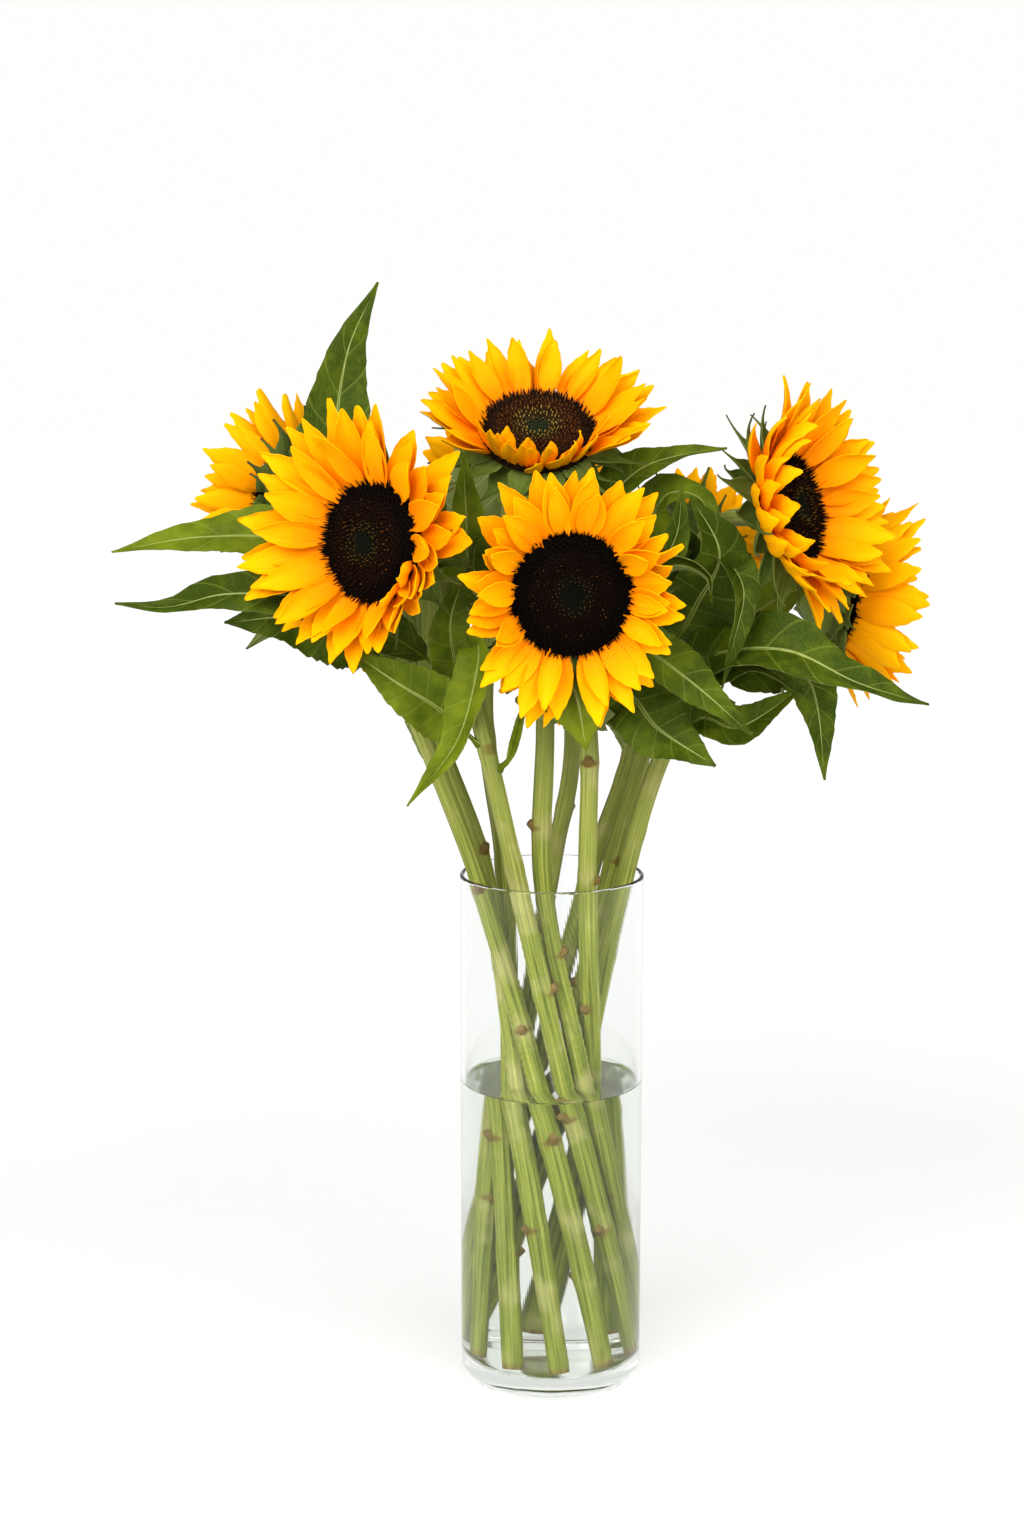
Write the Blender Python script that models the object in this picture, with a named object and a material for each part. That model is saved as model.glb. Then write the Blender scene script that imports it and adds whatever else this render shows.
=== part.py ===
# Ten cut sunflowers standing in a clear glass cylinder vase, part filled with water.
# Metres, +Z up. The origin is the centre of the vase's flat underside.

import math

import bmesh
import bpy
from mathutils import Matrix, Vector

# Vase
VASE_RADIUS = 0.050
VASE_HEIGHT = 0.283
VASE_WALL = 0.0025
VASE_FLOOR = 0.012
VASE_EDGE = 0.004
VASE_SIDES = 40

# Gap that touching pieces keep
GAP = 0.0003

# Water
WATER_LEVEL = 0.167
WATER_SIDES = 32

# Stems: a twisted sheaf that is tightest at the waist
STEM_RADIUS = 0.0061
STEM_TIP_RADIUS = 0.0056
STEM_POINTS = 19
WAIST_HEIGHT = 0.158
WAIST_RADIUS = 0.0225
WAIST_START = 42
WAIST_STEP = 36
FOOT_RADIUS = 0.0395
FOOT_TWIST = 54
FOOT_LIFT = 0.0020
NECK_LENGTH = 0.026

# Flower heads, measured from the disc's centre along the head's own axis
DISC_RADIUS = 0.031
DISC_DOME = 0.006
DISC_BASE = -0.0013
DISC_CHAMFER = 0.001
DISC_SIDES = 16
# Shares of the disc's radius and of its dome's height, from the edge to the dimpled middle
DISC_SHAPE = ((0.93, 0.42), (0.72, 0.92), (0.42, 1.0), (0.0, 0.72))
PETAL_INNER = 0.020
PETAL_BEND = 0.032
PETAL_THICK = 0.0018
PETAL_COUNT = 15
PETAL_VALLEY = 0.80
PETAL_TIP_THICK = 0.0013
PETAL_TIP_INSET = 0.0006
BRACT_TOP = -0.0037
BRACT_FOOT = -0.0235
BRACT_COUNT = 9
BRACT_REACH = 0.039
BRACT_VALLEY = 0.031
BRACT_RIM = 0.028
BRACT_TIP_DROP = 0.0050
BRACT_TIP_THICK = 0.0014
BRACT_FOOT_MARGIN = 0.0008
# Radius and height above the foot of the cup behind the disc
BRACT_CUP = ((0.014, 0.006), (0.026, 0.013))

# Leaves
LEAF_THICK = 0.0011
PETIOLE_HALF = 0.0016
PETIOLE_SHARE = 0.12
LEAF_TIP_HALF = 0.0008
LEAF_STEPS = 9
LEAF_KEEL = 0.18

# Each flower: disc centre, azimuth and elevation of its face in degrees (azimuth 0 faces -Y,
# 90 faces +X), radius to the petal tips, and how far the tips rise in front of the disc.
FLOWERS = {
    1: ((-0.093, -0.060, 0.466), -36, 3, 0.062, 0.010),
    2: ((-0.145, 0.058, 0.482), -122, 12, 0.052, 0.018),
    3: ((-0.008, 0.000, 0.520), 2, 50, 0.058, 0.016),
    4: ((0.008, -0.085, 0.442), 3, -2, 0.058, 0.006),
    5: ((0.126, -0.010, 0.481), 58, 14, 0.063, 0.010),
    6: ((0.160, 0.060, 0.428), 104, -6, 0.054, 0.024),
    7: ((0.080, 0.092, 0.446), 136, 12, 0.048, 0.012),
    8: ((-0.084, 0.102, 0.430), -160, 4, 0.052, 0.012),
    9: ((-0.022, 0.116, 0.488), 178, 24, 0.052, 0.010),
    10: ((0.018, 0.120, 0.396), 172, -4, 0.050, 0.014),
}

# Each stem: its place round the waist, the point where it crosses the rim, and a point above it.
STEMS = {
    6: (0, (0.0405, 0.002), (0.060, 0.014, 0.345)),
    5: (1, (0.034, 0.0215), (0.052, 0.030, 0.350)),
    7: (2, (0.024, 0.0330), (0.045, 0.048, 0.345)),
    10: (3, (0.002, 0.0400), (0.012, 0.056, 0.335)),
    9: (4, (-0.026, 0.0300), (-0.037, 0.052, 0.370)),
    8: (5, (-0.037, 0.0160), (-0.068, 0.040, 0.370)),
    2: (6, (-0.0405, -0.0070), (-0.078, 0.008, 0.382)),
    1: (7, (-0.018, -0.0360), (-0.045, -0.038, 0.400)),
    3: (7.9, (-0.005, -0.0255), (-0.004, -0.020, 0.371)),
    4: (9.05, (0.018, -0.0350), (0.018, -0.036, 0.370)),
}

# Each leaf: the stem it grows from and at what height, its half width, the direction its
# face looks to, and the rest of its midrib out to the tip.
LEAVES = {
    "leaf_upright": (2, 0.415, 0.021, (0.2, -1.0, 0.1),
                     ((-0.106, 0.010, 0.450), (-0.116, 0.022, 0.505), (-0.110, 0.030, 0.560),
                      (-0.093, 0.030, 0.598))),
    "leaf_left_long": (2, 0.406, 0.015, (0.0, -0.9, 0.5),
                       ((-0.108, -0.008, 0.440), (-0.135, -0.009, 0.462), (-0.185, -0.010, 0.465),
                        (-0.230, -0.022, 0.458))),
    "leaf_left_folded": (1, 0.392, 0.011, (0.0, -1.0, 0.3),
                         ((-0.088, -0.034, 0.418), (-0.130, -0.032, 0.435), (-0.170, -0.030, 0.437),
                          (-0.201, -0.028, 0.430), (-0.228, -0.028, 0.432))),
    "leaf_left_broad": (2, 0.368, 0.020, (-0.1, -1.0, 0.2),
                        ((-0.100, 0.004, 0.392), (-0.135, 0.008, 0.410), (-0.176, 0.010, 0.418))),
    "leaf_under_left": (1, 0.360, 0.017, (-0.2, -1.0, 0.1),
                        ((-0.059, -0.052, 0.380), (-0.080, -0.056, 0.394), (-0.105, -0.056, 0.411))),
    "leaf_hanging": (1, 0.408, 0.012, (-0.5, -1.0, 0.1),
                     ((-0.038, -0.064, 0.414), (-0.041, -0.075, 0.392), (-0.050, -0.081, 0.366),
                      (-0.074, -0.088, 0.336))),
    "leaf_middle_left": (3, 0.420, 0.012, (-0.2, -1.0, 0.2),
                         ((-0.042, -0.034, 0.450), (-0.045, -0.046, 0.480), (-0.046, -0.062, 0.512))),
    "leaf_between": (3, 0.440, 0.015, (0.1, -1.0, 0.5),
                     ((-0.012, -0.028, 0.464), (-0.013, -0.042, 0.482), (0.008, -0.052, 0.478))),
    "leaf_top_right": (3, 0.445, 0.012, (0.0, -0.7, 0.7),
                       ((0.022, 0.004, 0.476), (0.046, -0.002, 0.500), (0.069, -0.004, 0.508),
                        (0.091, -0.006, 0.511))),
    "leaf_right_broad": (5, 0.395, 0.015, (0.0, -0.7, 0.7),
                         ((0.050, 0.014, 0.458), (0.060, 0.006, 0.486), (0.078, -0.008, 0.484),
                          (0.086, -0.018, 0.455))),
    "leaf_curled": (4, 0.405, 0.010, (0.1, -0.8, 0.6),
                    ((0.038, -0.026, 0.432), (0.060, -0.036, 0.452), (0.077, -0.044, 0.448),
                     (0.081, -0.040, 0.434))),
    "leaf_narrow": (5, 0.435, 0.011, (0.3, -1.0, 0.1),
                    ((0.090, -0.016, 0.452), (0.098, -0.032, 0.439), (0.093, -0.037, 0.414),
                     (0.087, -0.037, 0.389))),
    "leaf_big_right": (5, 0.385, 0.020, (0.2, -1.0, 0.5),
                       ((0.088, -0.014, 0.404), (0.122, -0.038, 0.408), (0.157, -0.042, 0.392),
                        (0.196, -0.030, 0.379))),
    "leaf_right_tip": (6, 0.385, 0.010, (0.1, -1.0, 0.1),
                       ((0.127, 0.006, 0.396), (0.140, 0.002, 0.382), (0.146, -0.006, 0.335))),
    "leaf_low_right": (6, 0.350, 0.014, (0.0, -1.0, 0.4),
                       ((0.080, -0.004, 0.368), (0.098, -0.012, 0.364), (0.133, -0.012, 0.386))),
    "leaf_mid_right": (4, 0.396, 0.014, (0.2, -1.0, 0.4),
                       ((0.040, -0.052, 0.412), (0.066, -0.062, 0.398), (0.101, -0.064, 0.368))),
    "leaf_drooping": (4, 0.374, 0.021, (0.1, -1.0, 0.2),
                      ((0.038, -0.044, 0.386), (0.053, -0.050, 0.370), (0.083, -0.056, 0.351))),
    "leaf_below_centre": (3, 0.385, 0.030, (0.0, -1.0, 0.1),
                          ((0.000, -0.060, 0.405), (0.010, -0.072, 0.392), (0.016, -0.070, 0.362))),
}

# Colour, roughness and alpha of each material.
LOOKS = {
    "glass": ((0.86, 0.92, 0.90), 0.03, 0.25),
    "water": ((0.70, 0.78, 0.74), 0.03, 0.45),
    "stem_green": ((0.36, 0.44, 0.17), 0.55, 1.0),
    "disc_brown": ((0.035, 0.016, 0.008), 0.85, 1.0),
    "petal_yellow": ((1.0, 0.56, 0.01), 0.50, 1.0),
    "bract_green": ((0.20, 0.30, 0.07), 0.60, 1.0),
    "leaf_green": ((0.10, 0.19, 0.03), 0.45, 1.0),
}


def clear_scene():
    for item in list(bpy.data.objects):
        bpy.data.objects.remove(item, do_unlink=True)


def make_material(name):
    colour, roughness, alpha = LOOKS[name]
    material = bpy.data.materials.new(name)
    material.use_nodes = True
    shader = material.node_tree.nodes["Principled BSDF"]
    shader.inputs["Base Color"].default_value = (*colour, 1.0)
    shader.inputs["Roughness"].default_value = roughness
    shader.inputs["Metallic"].default_value = 0.0
    shader.inputs["Alpha"].default_value = alpha
    return material


def add_object(name, data, material):
    item = bpy.data.objects.new(name, data)
    bpy.context.scene.collection.objects.link(item)
    data.materials.append(material)
    return item


def finish_mesh(name, mesh_builder, material):
    bmesh.ops.remove_doubles(mesh_builder, verts=mesh_builder.verts, dist=1e-6)
    bmesh.ops.recalc_face_normals(mesh_builder, faces=mesh_builder.faces)
    mesh = bpy.data.meshes.new(name)
    mesh_builder.to_mesh(mesh)
    mesh_builder.free()
    item = add_object(name, mesh, material)
    mesh.shade_smooth()
    mesh.set_sharp_from_angle(angle=math.radians(40))
    return item


def turned(profile, sides):
    """A closed outline of (radius, height) points, turned round Z."""
    shape = bmesh.new()
    corners = [shape.verts.new((radius, 0.0, height)) for radius, height in profile]
    edges = []
    for start, end in zip(corners, corners[1:] + corners[:1]):
        if start.co.x > 0.0 or end.co.x > 0.0:
            edges.append(shape.edges.new((start, end)))
    bmesh.ops.spin(shape, geom=corners + edges, axis=(0, 0, 1), cent=(0, 0, 0),
                   angle=math.tau, steps=sides, use_merge=True)
    bmesh.ops.remove_doubles(shape, verts=shape.verts, dist=1e-6)
    return shape


def arc(centre, radius, start, end, steps):
    """Points on an arc in the (radius, height) plane; angles in degrees."""
    points = []
    for step in range(steps + 1):
        angle = math.radians(start + (end - start) * step / steps)
        points.append((centre[0] + radius * math.cos(angle), centre[1] + radius * math.sin(angle)))
    return points


def smooth_curve(points, count):
    """Evenly spaced points along a smooth curve through the given ones."""
    ends = [points[0] * 2 - points[1]] + points + [points[-1] * 2 - points[-2]]
    dense = []
    for before, start, end, after in zip(ends, ends[1:], ends[2:], ends[3:]):
        length = (end - start).length
        lead = (end - before) * (length / ((start - before).length + length))
        tail = (after - start) * (length / ((after - end).length + length))
        for step in range(24):
            t = step / 24
            dense.append(start * (2 * t**3 - 3 * t**2 + 1) + lead * (t**3 - 2 * t**2 + t)
                         + end * (3 * t**2 - 2 * t**3) + tail * (t**3 - t**2))
    dense.append(points[-1])
    lengths = [0.0]
    for start, end in zip(dense, dense[1:]):
        lengths.append(lengths[-1] + (end - start).length)
    even = []
    place = 0
    for index in range(count):
        target = lengths[-1] * index / (count - 1)
        while place < len(lengths) - 2 and lengths[place + 1] < target:
            place += 1
        share = (target - lengths[place]) / (lengths[place + 1] - lengths[place])
        even.append(dense[place].lerp(dense[place + 1], share))
    return even


def facing(number):
    """Unit vector along which a flower looks."""
    azimuth, elevation = (math.radians(angle) for angle in FLOWERS[number][1:3])
    return Vector((math.sin(azimuth) * math.cos(elevation),
                   -math.cos(azimuth) * math.cos(elevation),
                   math.sin(elevation)))


def place_head(item, number):
    """Moves a head's piece from the origin to its flower."""
    turn = facing(number).to_track_quat("Z", "Y").to_matrix().to_4x4()
    item.matrix_world = Matrix.Translation(FLOWERS[number][0]) @ turn


def ring_point(radius, degrees, height):
    angle = math.radians(degrees)
    return Vector((radius * math.cos(angle), radius * math.sin(angle), height))


def stem_line(number, count=STEM_POINTS):
    """Centre line of a stem, from its cut foot to the back of its head."""
    slot, rim, upper = STEMS[number]
    waist_angle = WAIST_START + WAIST_STEP * slot
    centre = Vector(FLOWERS[number][0])
    face = facing(number)
    points = [
        ring_point(FOOT_RADIUS, waist_angle + FOOT_TWIST, VASE_FLOOR + FOOT_LIFT),
        ring_point(WAIST_RADIUS, waist_angle, WAIST_HEIGHT),
        Vector((*rim, VASE_HEIGHT)),
        Vector(upper),
        centre + face * (BRACT_FOOT - NECK_LENGTH),
        centre + face * (BRACT_FOOT - GAP),
    ]
    line = smooth_curve(points, count)
    line[-2] = line[-1] - face * (line[-1] - line[-2]).length
    return line


def build_vase(material):
    inner = VASE_RADIUS - VASE_WALL
    rim = VASE_WALL / 2
    profile = [(0.0, 0.0), (VASE_RADIUS - VASE_EDGE, 0.0)]
    profile += arc((VASE_RADIUS - VASE_EDGE, VASE_EDGE), VASE_EDGE, -60, 0, 2)
    profile += arc((VASE_RADIUS - rim, VASE_HEIGHT - rim), rim, 0, 180, 4)
    profile += [(inner, VASE_FLOOR), (0.0, VASE_FLOOR)]
    return finish_mesh("vase", turned(profile, VASE_SIDES), material)


def stem_curve(name, number, extra):
    """A stem as a bevelled curve, its radius grown by extra."""
    line = stem_line(number)
    curve = bpy.data.curves.new(name, "CURVE")
    curve.dimensions = "3D"
    curve.bevel_depth = 1.0
    curve.bevel_resolution = 2
    curve.use_fill_caps = True
    spline = curve.splines.new("POLY")
    spline.points.add(len(line) - 1)
    for index, (place, point) in enumerate(zip(line, spline.points)):
        share = index / (len(line) - 1)
        point.co = (*place, 1.0)
        point.radius = STEM_RADIUS + (STEM_TIP_RADIUS - STEM_RADIUS) * share + extra
    return curve


def build_stem(number, material):
    name = f"stem_{number}"
    return add_object(name, stem_curve(name, number, 0.0), material)


def build_water(material):
    radius = VASE_RADIUS - VASE_WALL - GAP
    bottom = VASE_FLOOR + GAP
    profile = [(0.0, bottom), (radius, bottom), (radius, WATER_LEVEL), (0.0, WATER_LEVEL)]
    water = finish_mesh("water", turned(profile, WATER_SIDES), material)
    for number in STEMS:
        cutter = water_cutter(number)
        modifier = water.modifiers.new(cutter.name, "BOOLEAN")
        modifier.operation = "DIFFERENCE"
        modifier.solver = "EXACT"
        modifier.object = cutter
    return water


def water_cutter(number):
    """A hidden, slightly fatter copy of a stem, run on below its foot."""
    name = f"water_cutter_{number}"
    guide = bpy.data.objects.new(name, stem_curve(name, number, GAP))
    bpy.context.scene.collection.objects.link(guide)
    start = guide.data.splines[0].points[0]
    following = guide.data.splines[0].points[1]
    start.co = start.co + (start.co - following.co) * (2 * STEM_RADIUS / (start.co - following.co).length)
    bpy.context.view_layer.update()
    solid = bpy.data.meshes.new_from_object(guide.evaluated_get(bpy.context.evaluated_depsgraph_get()))
    bpy.data.objects.remove(guide, do_unlink=True)
    cutter = bpy.data.objects.new(name, solid)
    bpy.context.scene.collection.objects.link(cutter)
    cutter.hide_render = True
    cutter.display_type = "WIRE"
    return cutter


def build_disc(number, material):
    profile = [(0.0, DISC_BASE), (DISC_RADIUS - DISC_CHAMFER, DISC_BASE), (DISC_RADIUS, DISC_BASE / 2)]
    profile += [(DISC_RADIUS * across, DISC_DOME * high) for across, high in DISC_SHAPE]
    disc = finish_mesh(f"disc_{number}", turned(profile, DISC_SIDES), material)
    place_head(disc, number)
    return disc


def from_axis(vertex):
    return math.hypot(vertex.co.x, vertex.co.y)


def star(shape, rim, count, valley):
    """Draws every second corner outside the rim back along its own edge, so points are left."""
    moves = []
    for vertex in shape.verts:
        turn = math.atan2(vertex.co.y, vertex.co.x) / math.tau * count * 2
        if from_axis(vertex) < rim + 1e-5 or round(turn) % 2 == 0:
            continue
        inner = min((edge.other_vert(vertex) for edge in vertex.link_edges), key=from_axis)
        share = (valley - from_axis(inner)) / (from_axis(vertex) - from_axis(inner))
        moves.append((vertex, inner.co.lerp(vertex.co, share)))
    for vertex, place in moves:
        vertex.co = place


def build_petals(number, material):
    reach, rise = FLOWERS[number][3:5]
    low = BRACT_TOP + GAP
    high = low + PETAL_THICK
    tip = low + rise
    profile = [(PETAL_INNER, low), (PETAL_BEND, low), (reach, tip),
               (reach - PETAL_TIP_INSET, tip + PETAL_TIP_THICK), (PETAL_BEND, high), (PETAL_INNER, high)]
    shape = turned(profile, PETAL_COUNT * 2)
    star(shape, PETAL_BEND, PETAL_COUNT, reach * PETAL_VALLEY)
    petals = finish_mesh(f"petals_{number}", shape, material)
    place_head(petals, number)
    return petals


def build_bracts(number, material):
    tip = BRACT_TOP - BRACT_TIP_DROP
    profile = [(0.0, BRACT_FOOT), (STEM_TIP_RADIUS + BRACT_FOOT_MARGIN, BRACT_FOOT)]
    profile += [(radius, BRACT_FOOT + height) for radius, height in BRACT_CUP]
    profile += [(BRACT_REACH, tip), (BRACT_REACH - BRACT_TIP_THICK / 2, tip + BRACT_TIP_THICK),
                (BRACT_RIM, BRACT_TOP), (0.0, BRACT_TOP)]
    shape = turned(profile, BRACT_COUNT * 2)
    star(shape, BRACT_RIM, BRACT_COUNT, BRACT_VALLEY)
    bracts = finish_mesh(f"bracts_{number}", shape, material)
    place_head(bracts, number)
    return bracts


def leaf_line(name):
    """Midrib of a leaf, starting just outside its stem."""
    stem, height, _, _, points = LEAVES[name]
    stem_points = stem_line(stem, 200)
    place = min(range(1, 199), key=lambda index: abs(stem_points[index].z - height))
    base = stem_points[place]
    stem_way = (stem_points[place + 1] - stem_points[place - 1]).normalized()
    outward = Vector(points[0]) - base
    outward = (outward - stem_way * outward.dot(stem_way)).normalized()
    start = base + outward * (STEM_RADIUS + PETIOLE_HALF + 2 * GAP)
    return smooth_curve([start] + [Vector(point) for point in points], LEAF_STEPS + 1)


def leaf_half_width(share, widest):
    """Half the width at a share of the length: a petiole, then a blade that ends in a tip."""
    if share <= PETIOLE_SHARE:
        return PETIOLE_HALF
    blade = (share - PETIOLE_SHARE) / (1 - PETIOLE_SHARE)
    return max(LEAF_TIP_HALF, PETIOLE_HALF * (1 - blade) + widest * math.sin(math.pi * blade**0.75) ** 0.9)


def build_leaf(name, material):
    widest, face = LEAVES[name][2:4]
    line = leaf_line(name)
    shape = bmesh.new()
    bmesh.ops.create_grid(shape, x_segments=LEAF_STEPS, y_segments=2, size=1.0)
    for vertex in shape.verts:
        step = round((vertex.co.x + 1) / 2 * LEAF_STEPS)
        side = round(vertex.co.y)
        along = (line[min(step + 1, LEAF_STEPS)] - line[max(step - 1, 0)]).normalized()
        across = along.cross(Vector(face)).normalized()
        upward = across.cross(along)
        half = leaf_half_width(step / LEAF_STEPS, widest)
        vertex.co = line[step] + across * side * half + upward * abs(side) * half * LEAF_KEEL
    leaf = finish_mesh(name, shape, material)
    solid = leaf.modifiers.new("thickness", "SOLIDIFY")
    solid.thickness = LEAF_THICK
    solid.offset = 0.0
    return leaf


def main():
    clear_scene()
    materials = {name: make_material(name) for name in LOOKS}
    build_vase(materials["glass"])
    for number in FLOWERS:
        build_stem(number, materials["stem_green"])
        build_bracts(number, materials["bract_green"])
        build_petals(number, materials["petal_yellow"])
        build_disc(number, materials["disc_brown"])
    build_water(materials["water"])
    for name in LEAVES:
        build_leaf(name, materials["leaf_green"])


main()
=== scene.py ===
import math
import random

import bmesh
import bpy
import numpy as np
from mathutils import Matrix, Vector


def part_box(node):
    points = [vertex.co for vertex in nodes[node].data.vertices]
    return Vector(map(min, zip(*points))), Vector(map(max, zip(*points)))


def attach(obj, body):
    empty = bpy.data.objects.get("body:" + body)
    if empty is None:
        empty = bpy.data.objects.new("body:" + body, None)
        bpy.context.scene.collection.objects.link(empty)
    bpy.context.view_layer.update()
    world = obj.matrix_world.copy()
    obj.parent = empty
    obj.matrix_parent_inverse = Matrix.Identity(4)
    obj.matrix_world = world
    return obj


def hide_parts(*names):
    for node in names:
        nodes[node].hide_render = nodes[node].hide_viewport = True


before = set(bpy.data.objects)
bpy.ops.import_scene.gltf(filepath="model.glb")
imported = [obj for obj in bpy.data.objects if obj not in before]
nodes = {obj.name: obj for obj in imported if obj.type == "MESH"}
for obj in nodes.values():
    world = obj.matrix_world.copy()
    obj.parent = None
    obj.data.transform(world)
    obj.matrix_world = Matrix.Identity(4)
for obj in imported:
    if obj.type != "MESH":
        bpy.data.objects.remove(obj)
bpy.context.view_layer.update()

scene = bpy.context.scene
up = Vector((0, 0, 1))
curveSteps = 24  # steps between two points of a smooth curve, and along a petal's path


# One output of a shader node, which can be added, multiplied and so on.
class Wire:
    def __init__(self, finish, node, output=0):
        self.finish = finish
        self.node = node
        self.socket = node.outputs[output]

    def out(self, output):
        return Wire(self.finish, self.node, output)

    def maths(self, operation, first, second=0.0):
        return self.finish.add("ShaderNodeMath", {"operation": operation}, {0: first, 1: second})

    def __add__(self, other):
        return self.maths("ADD", self, other)

    __radd__ = __add__

    def __sub__(self, other):
        return self.maths("SUBTRACT", self, other)

    def __rsub__(self, other):
        return self.maths("SUBTRACT", other, self)

    def __mul__(self, other):
        return self.maths("MULTIPLY", self, other)

    __rmul__ = __mul__

    def __abs__(self):
        return self.maths("ABSOLUTE", self)

    def sine(self):
        return self.maths("SINE", self)

    def fraction(self):
        return self.maths("FRACT", self)

    def fade(self, low, high):
        settings = {"interpolation_type": "SMOOTHSTEP"}
        return self.finish.add("ShaderNodeMapRange", settings, {0: self, 1: low, 2: high})


# A material and the nodes that make it.
class Finish:
    def __init__(self, name):
        self.material = bpy.data.materials.new(name)
        self.material.use_nodes = True
        self.tree = self.material.node_tree
        self.surface = self.tree.nodes["Principled BSDF"]
        self.output = self.tree.nodes["Material Output"]

    def add(self, kind, settings=None, sockets=None):
        node = self.tree.nodes.new(kind)
        for key, value in (settings or {}).items():
            if key == "stops":
                self.setStops(node.color_ramp, value)
            else:
                setattr(node, key, value)
        for key, value in (sockets or {}).items():
            self.join(node.inputs[key], value)
        shown = next(index for index, item in enumerate(node.outputs) if item.enabled)
        return Wire(self, node, shown)

    def setStops(self, ramp, stops):
        while len(ramp.elements) < len(stops):
            ramp.elements.new(0.5)
        for element, (place, colour) in zip(ramp.elements, stops):
            element.position = place
            element.color = (*colour, 1.0)

    def join(self, socket, value):
        if isinstance(value, Wire):
            self.tree.links.new(value.socket, socket)
        elif isinstance(value, tuple) and len(value) == 3 and socket.type == "RGBA":
            socket.default_value = (*value, 1.0)
        else:
            socket.default_value = value

    def set(self, **values):
        for key, value in values.items():
            self.join(self.surface.inputs[key.replace("_", " ")], value)
        return self

    def ramp(self, factor, *stops):
        return self.add("ShaderNodeValToRGB", {"stops": stops}, {0: factor})

    def mix(self, factor, first, second, blend="MIX"):
        settings = {"data_type": "RGBA", "blend_type": blend}
        return self.add("ShaderNodeMix", settings, {0: factor, 6: first, 7: second})

    def noise(self, vector, scale, detail=3.0, roughness=0.5):
        sockets = {"Vector": vector, "Scale": scale, "Detail": detail, "Roughness": roughness}
        return self.add("ShaderNodeTexNoise", None, sockets)

    def bump(self, height, strength, distance):
        sockets = {"Height": height, "Strength": strength, "Distance": distance}
        return self.add("ShaderNodeBump", None, sockets)

    def place(self):
        return self.add("ShaderNodeTexCoord").out("Object")

    def map(self):
        growth = self.add("ShaderNodeUVMap", {"uv_map": "growth"})
        parts = self.add("ShaderNodeSeparateXYZ", None, {0: growth})
        return parts.out("X"), parts.out("Y")

    def stretched(self, across, along, third=0.0):
        return self.add("ShaderNodeCombineXYZ", None, {0: across, 1: along, 2: third})

    def mark(self, name):
        return self.add("ShaderNodeAttribute", {"attribute_name": name}).out("Fac")


# A smooth curve through a few points, given back as evenly spaced points.
def smoothCurve(points, count):
    ends = [points[0] * 2 - points[1]] + list(points) + [points[-1] * 2 - points[-2]]
    dense = []
    for before, start, end, after in zip(ends, ends[1:], ends[2:], ends[3:]):
        length = (end - start).length
        lead = (end - before) * (length / ((start - before).length + length))
        tail = (after - start) * (length / ((after - end).length + length))
        for step in range(curveSteps):
            t = step / curveSteps
            dense.append(start * (2 * t**3 - 3 * t**2 + 1) + lead * (t**3 - 2 * t**2 + t)
                         + end * (3 * t**2 - 2 * t**3) + tail * (t**3 - t**2))
    dense.append(Vector(points[-1]))
    lengths = [0.0]
    for start, end in zip(dense, dense[1:]):
        lengths.append(lengths[-1] + (end - start).length)
    even = []
    place = 0
    for index in range(count):
        target = lengths[-1] * index / (count - 1)
        while place < len(lengths) - 2 and lengths[place + 1] < target:
            place += 1
        share = (target - lengths[place]) / max(1e-9, lengths[place + 1] - lengths[place])
        even.append(dense[place].lerp(dense[place + 1], share))
    return even


# An empty shape whose corners carry three marks: tone, each part's own shade of colour from 0 to 1, kept low
# on a few leaves in the middle of the bunch as painted shade; under,
# 1 on a blade's lower side or a floret's tip; ring, how far out on a disc, or how near a stem's node.
def newShape():
    shape = bmesh.new()
    shape.loops.layers.uv.new("growth")
    for name in ("tone", "under", "ring"):
        shape.verts.layers.float.new(name)
    return shape


def storedMesh(name, shape):
    mesh = bpy.data.meshes.new(name)
    shape.to_mesh(mesh)
    shape.free()
    return mesh


def paint(shape, vertices, **values):
    for name, value in values.items():
        layer = shape.verts.layers.float[name]
        for vertex in vertices:
            vertex[layer] = value


def finishPiece(name, shape, finish, replaced, smooth=60):
    mesh = storedMesh(name, shape)
    piece = bpy.data.objects.new(name, mesh)
    scene.collection.objects.link(piece)
    mesh.materials.append(finish.material)
    if smooth:
        mesh.shade_smooth()
        mesh.set_sharp_from_angle(angle=math.radians(smooth))
    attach(piece, "root")
    if replaced:
        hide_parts(*replaced)
    return piece


# A thin blade: a grid laid along a path by place(along, across), then given thickness.
def growBlade(shape, rows, columns, place, thickness, tone, upperIsNew=False):
    made = bmesh.ops.create_grid(shape, x_segments=rows, y_segments=columns, size=1.0)["verts"]
    faces = list(dict.fromkeys(face for vertex in made for face in vertex.link_faces))
    uv = shape.loops.layers.uv["growth"]
    for face in faces:
        for loop in face.loops:
            loop[uv].uv = ((loop.vert.co.y + 1) / 2, (loop.vert.co.x + 1) / 2)
    for vertex in made:
        vertex.co = place((vertex.co.x + 1) / 2, vertex.co.y)
    for face in faces:
        face.normal_update()
    for vertex in made:
        vertex.normal_update()
    solid = bmesh.ops.solidify(shape, geom=faces, thickness=thickness)
    fresh = [item for item in solid["geom"] if isinstance(item, bmesh.types.BMVert)]
    paint(shape, made + fresh, tone=tone)
    paint(shape, made if upperIsNew else fresh, under=1.0)


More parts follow.
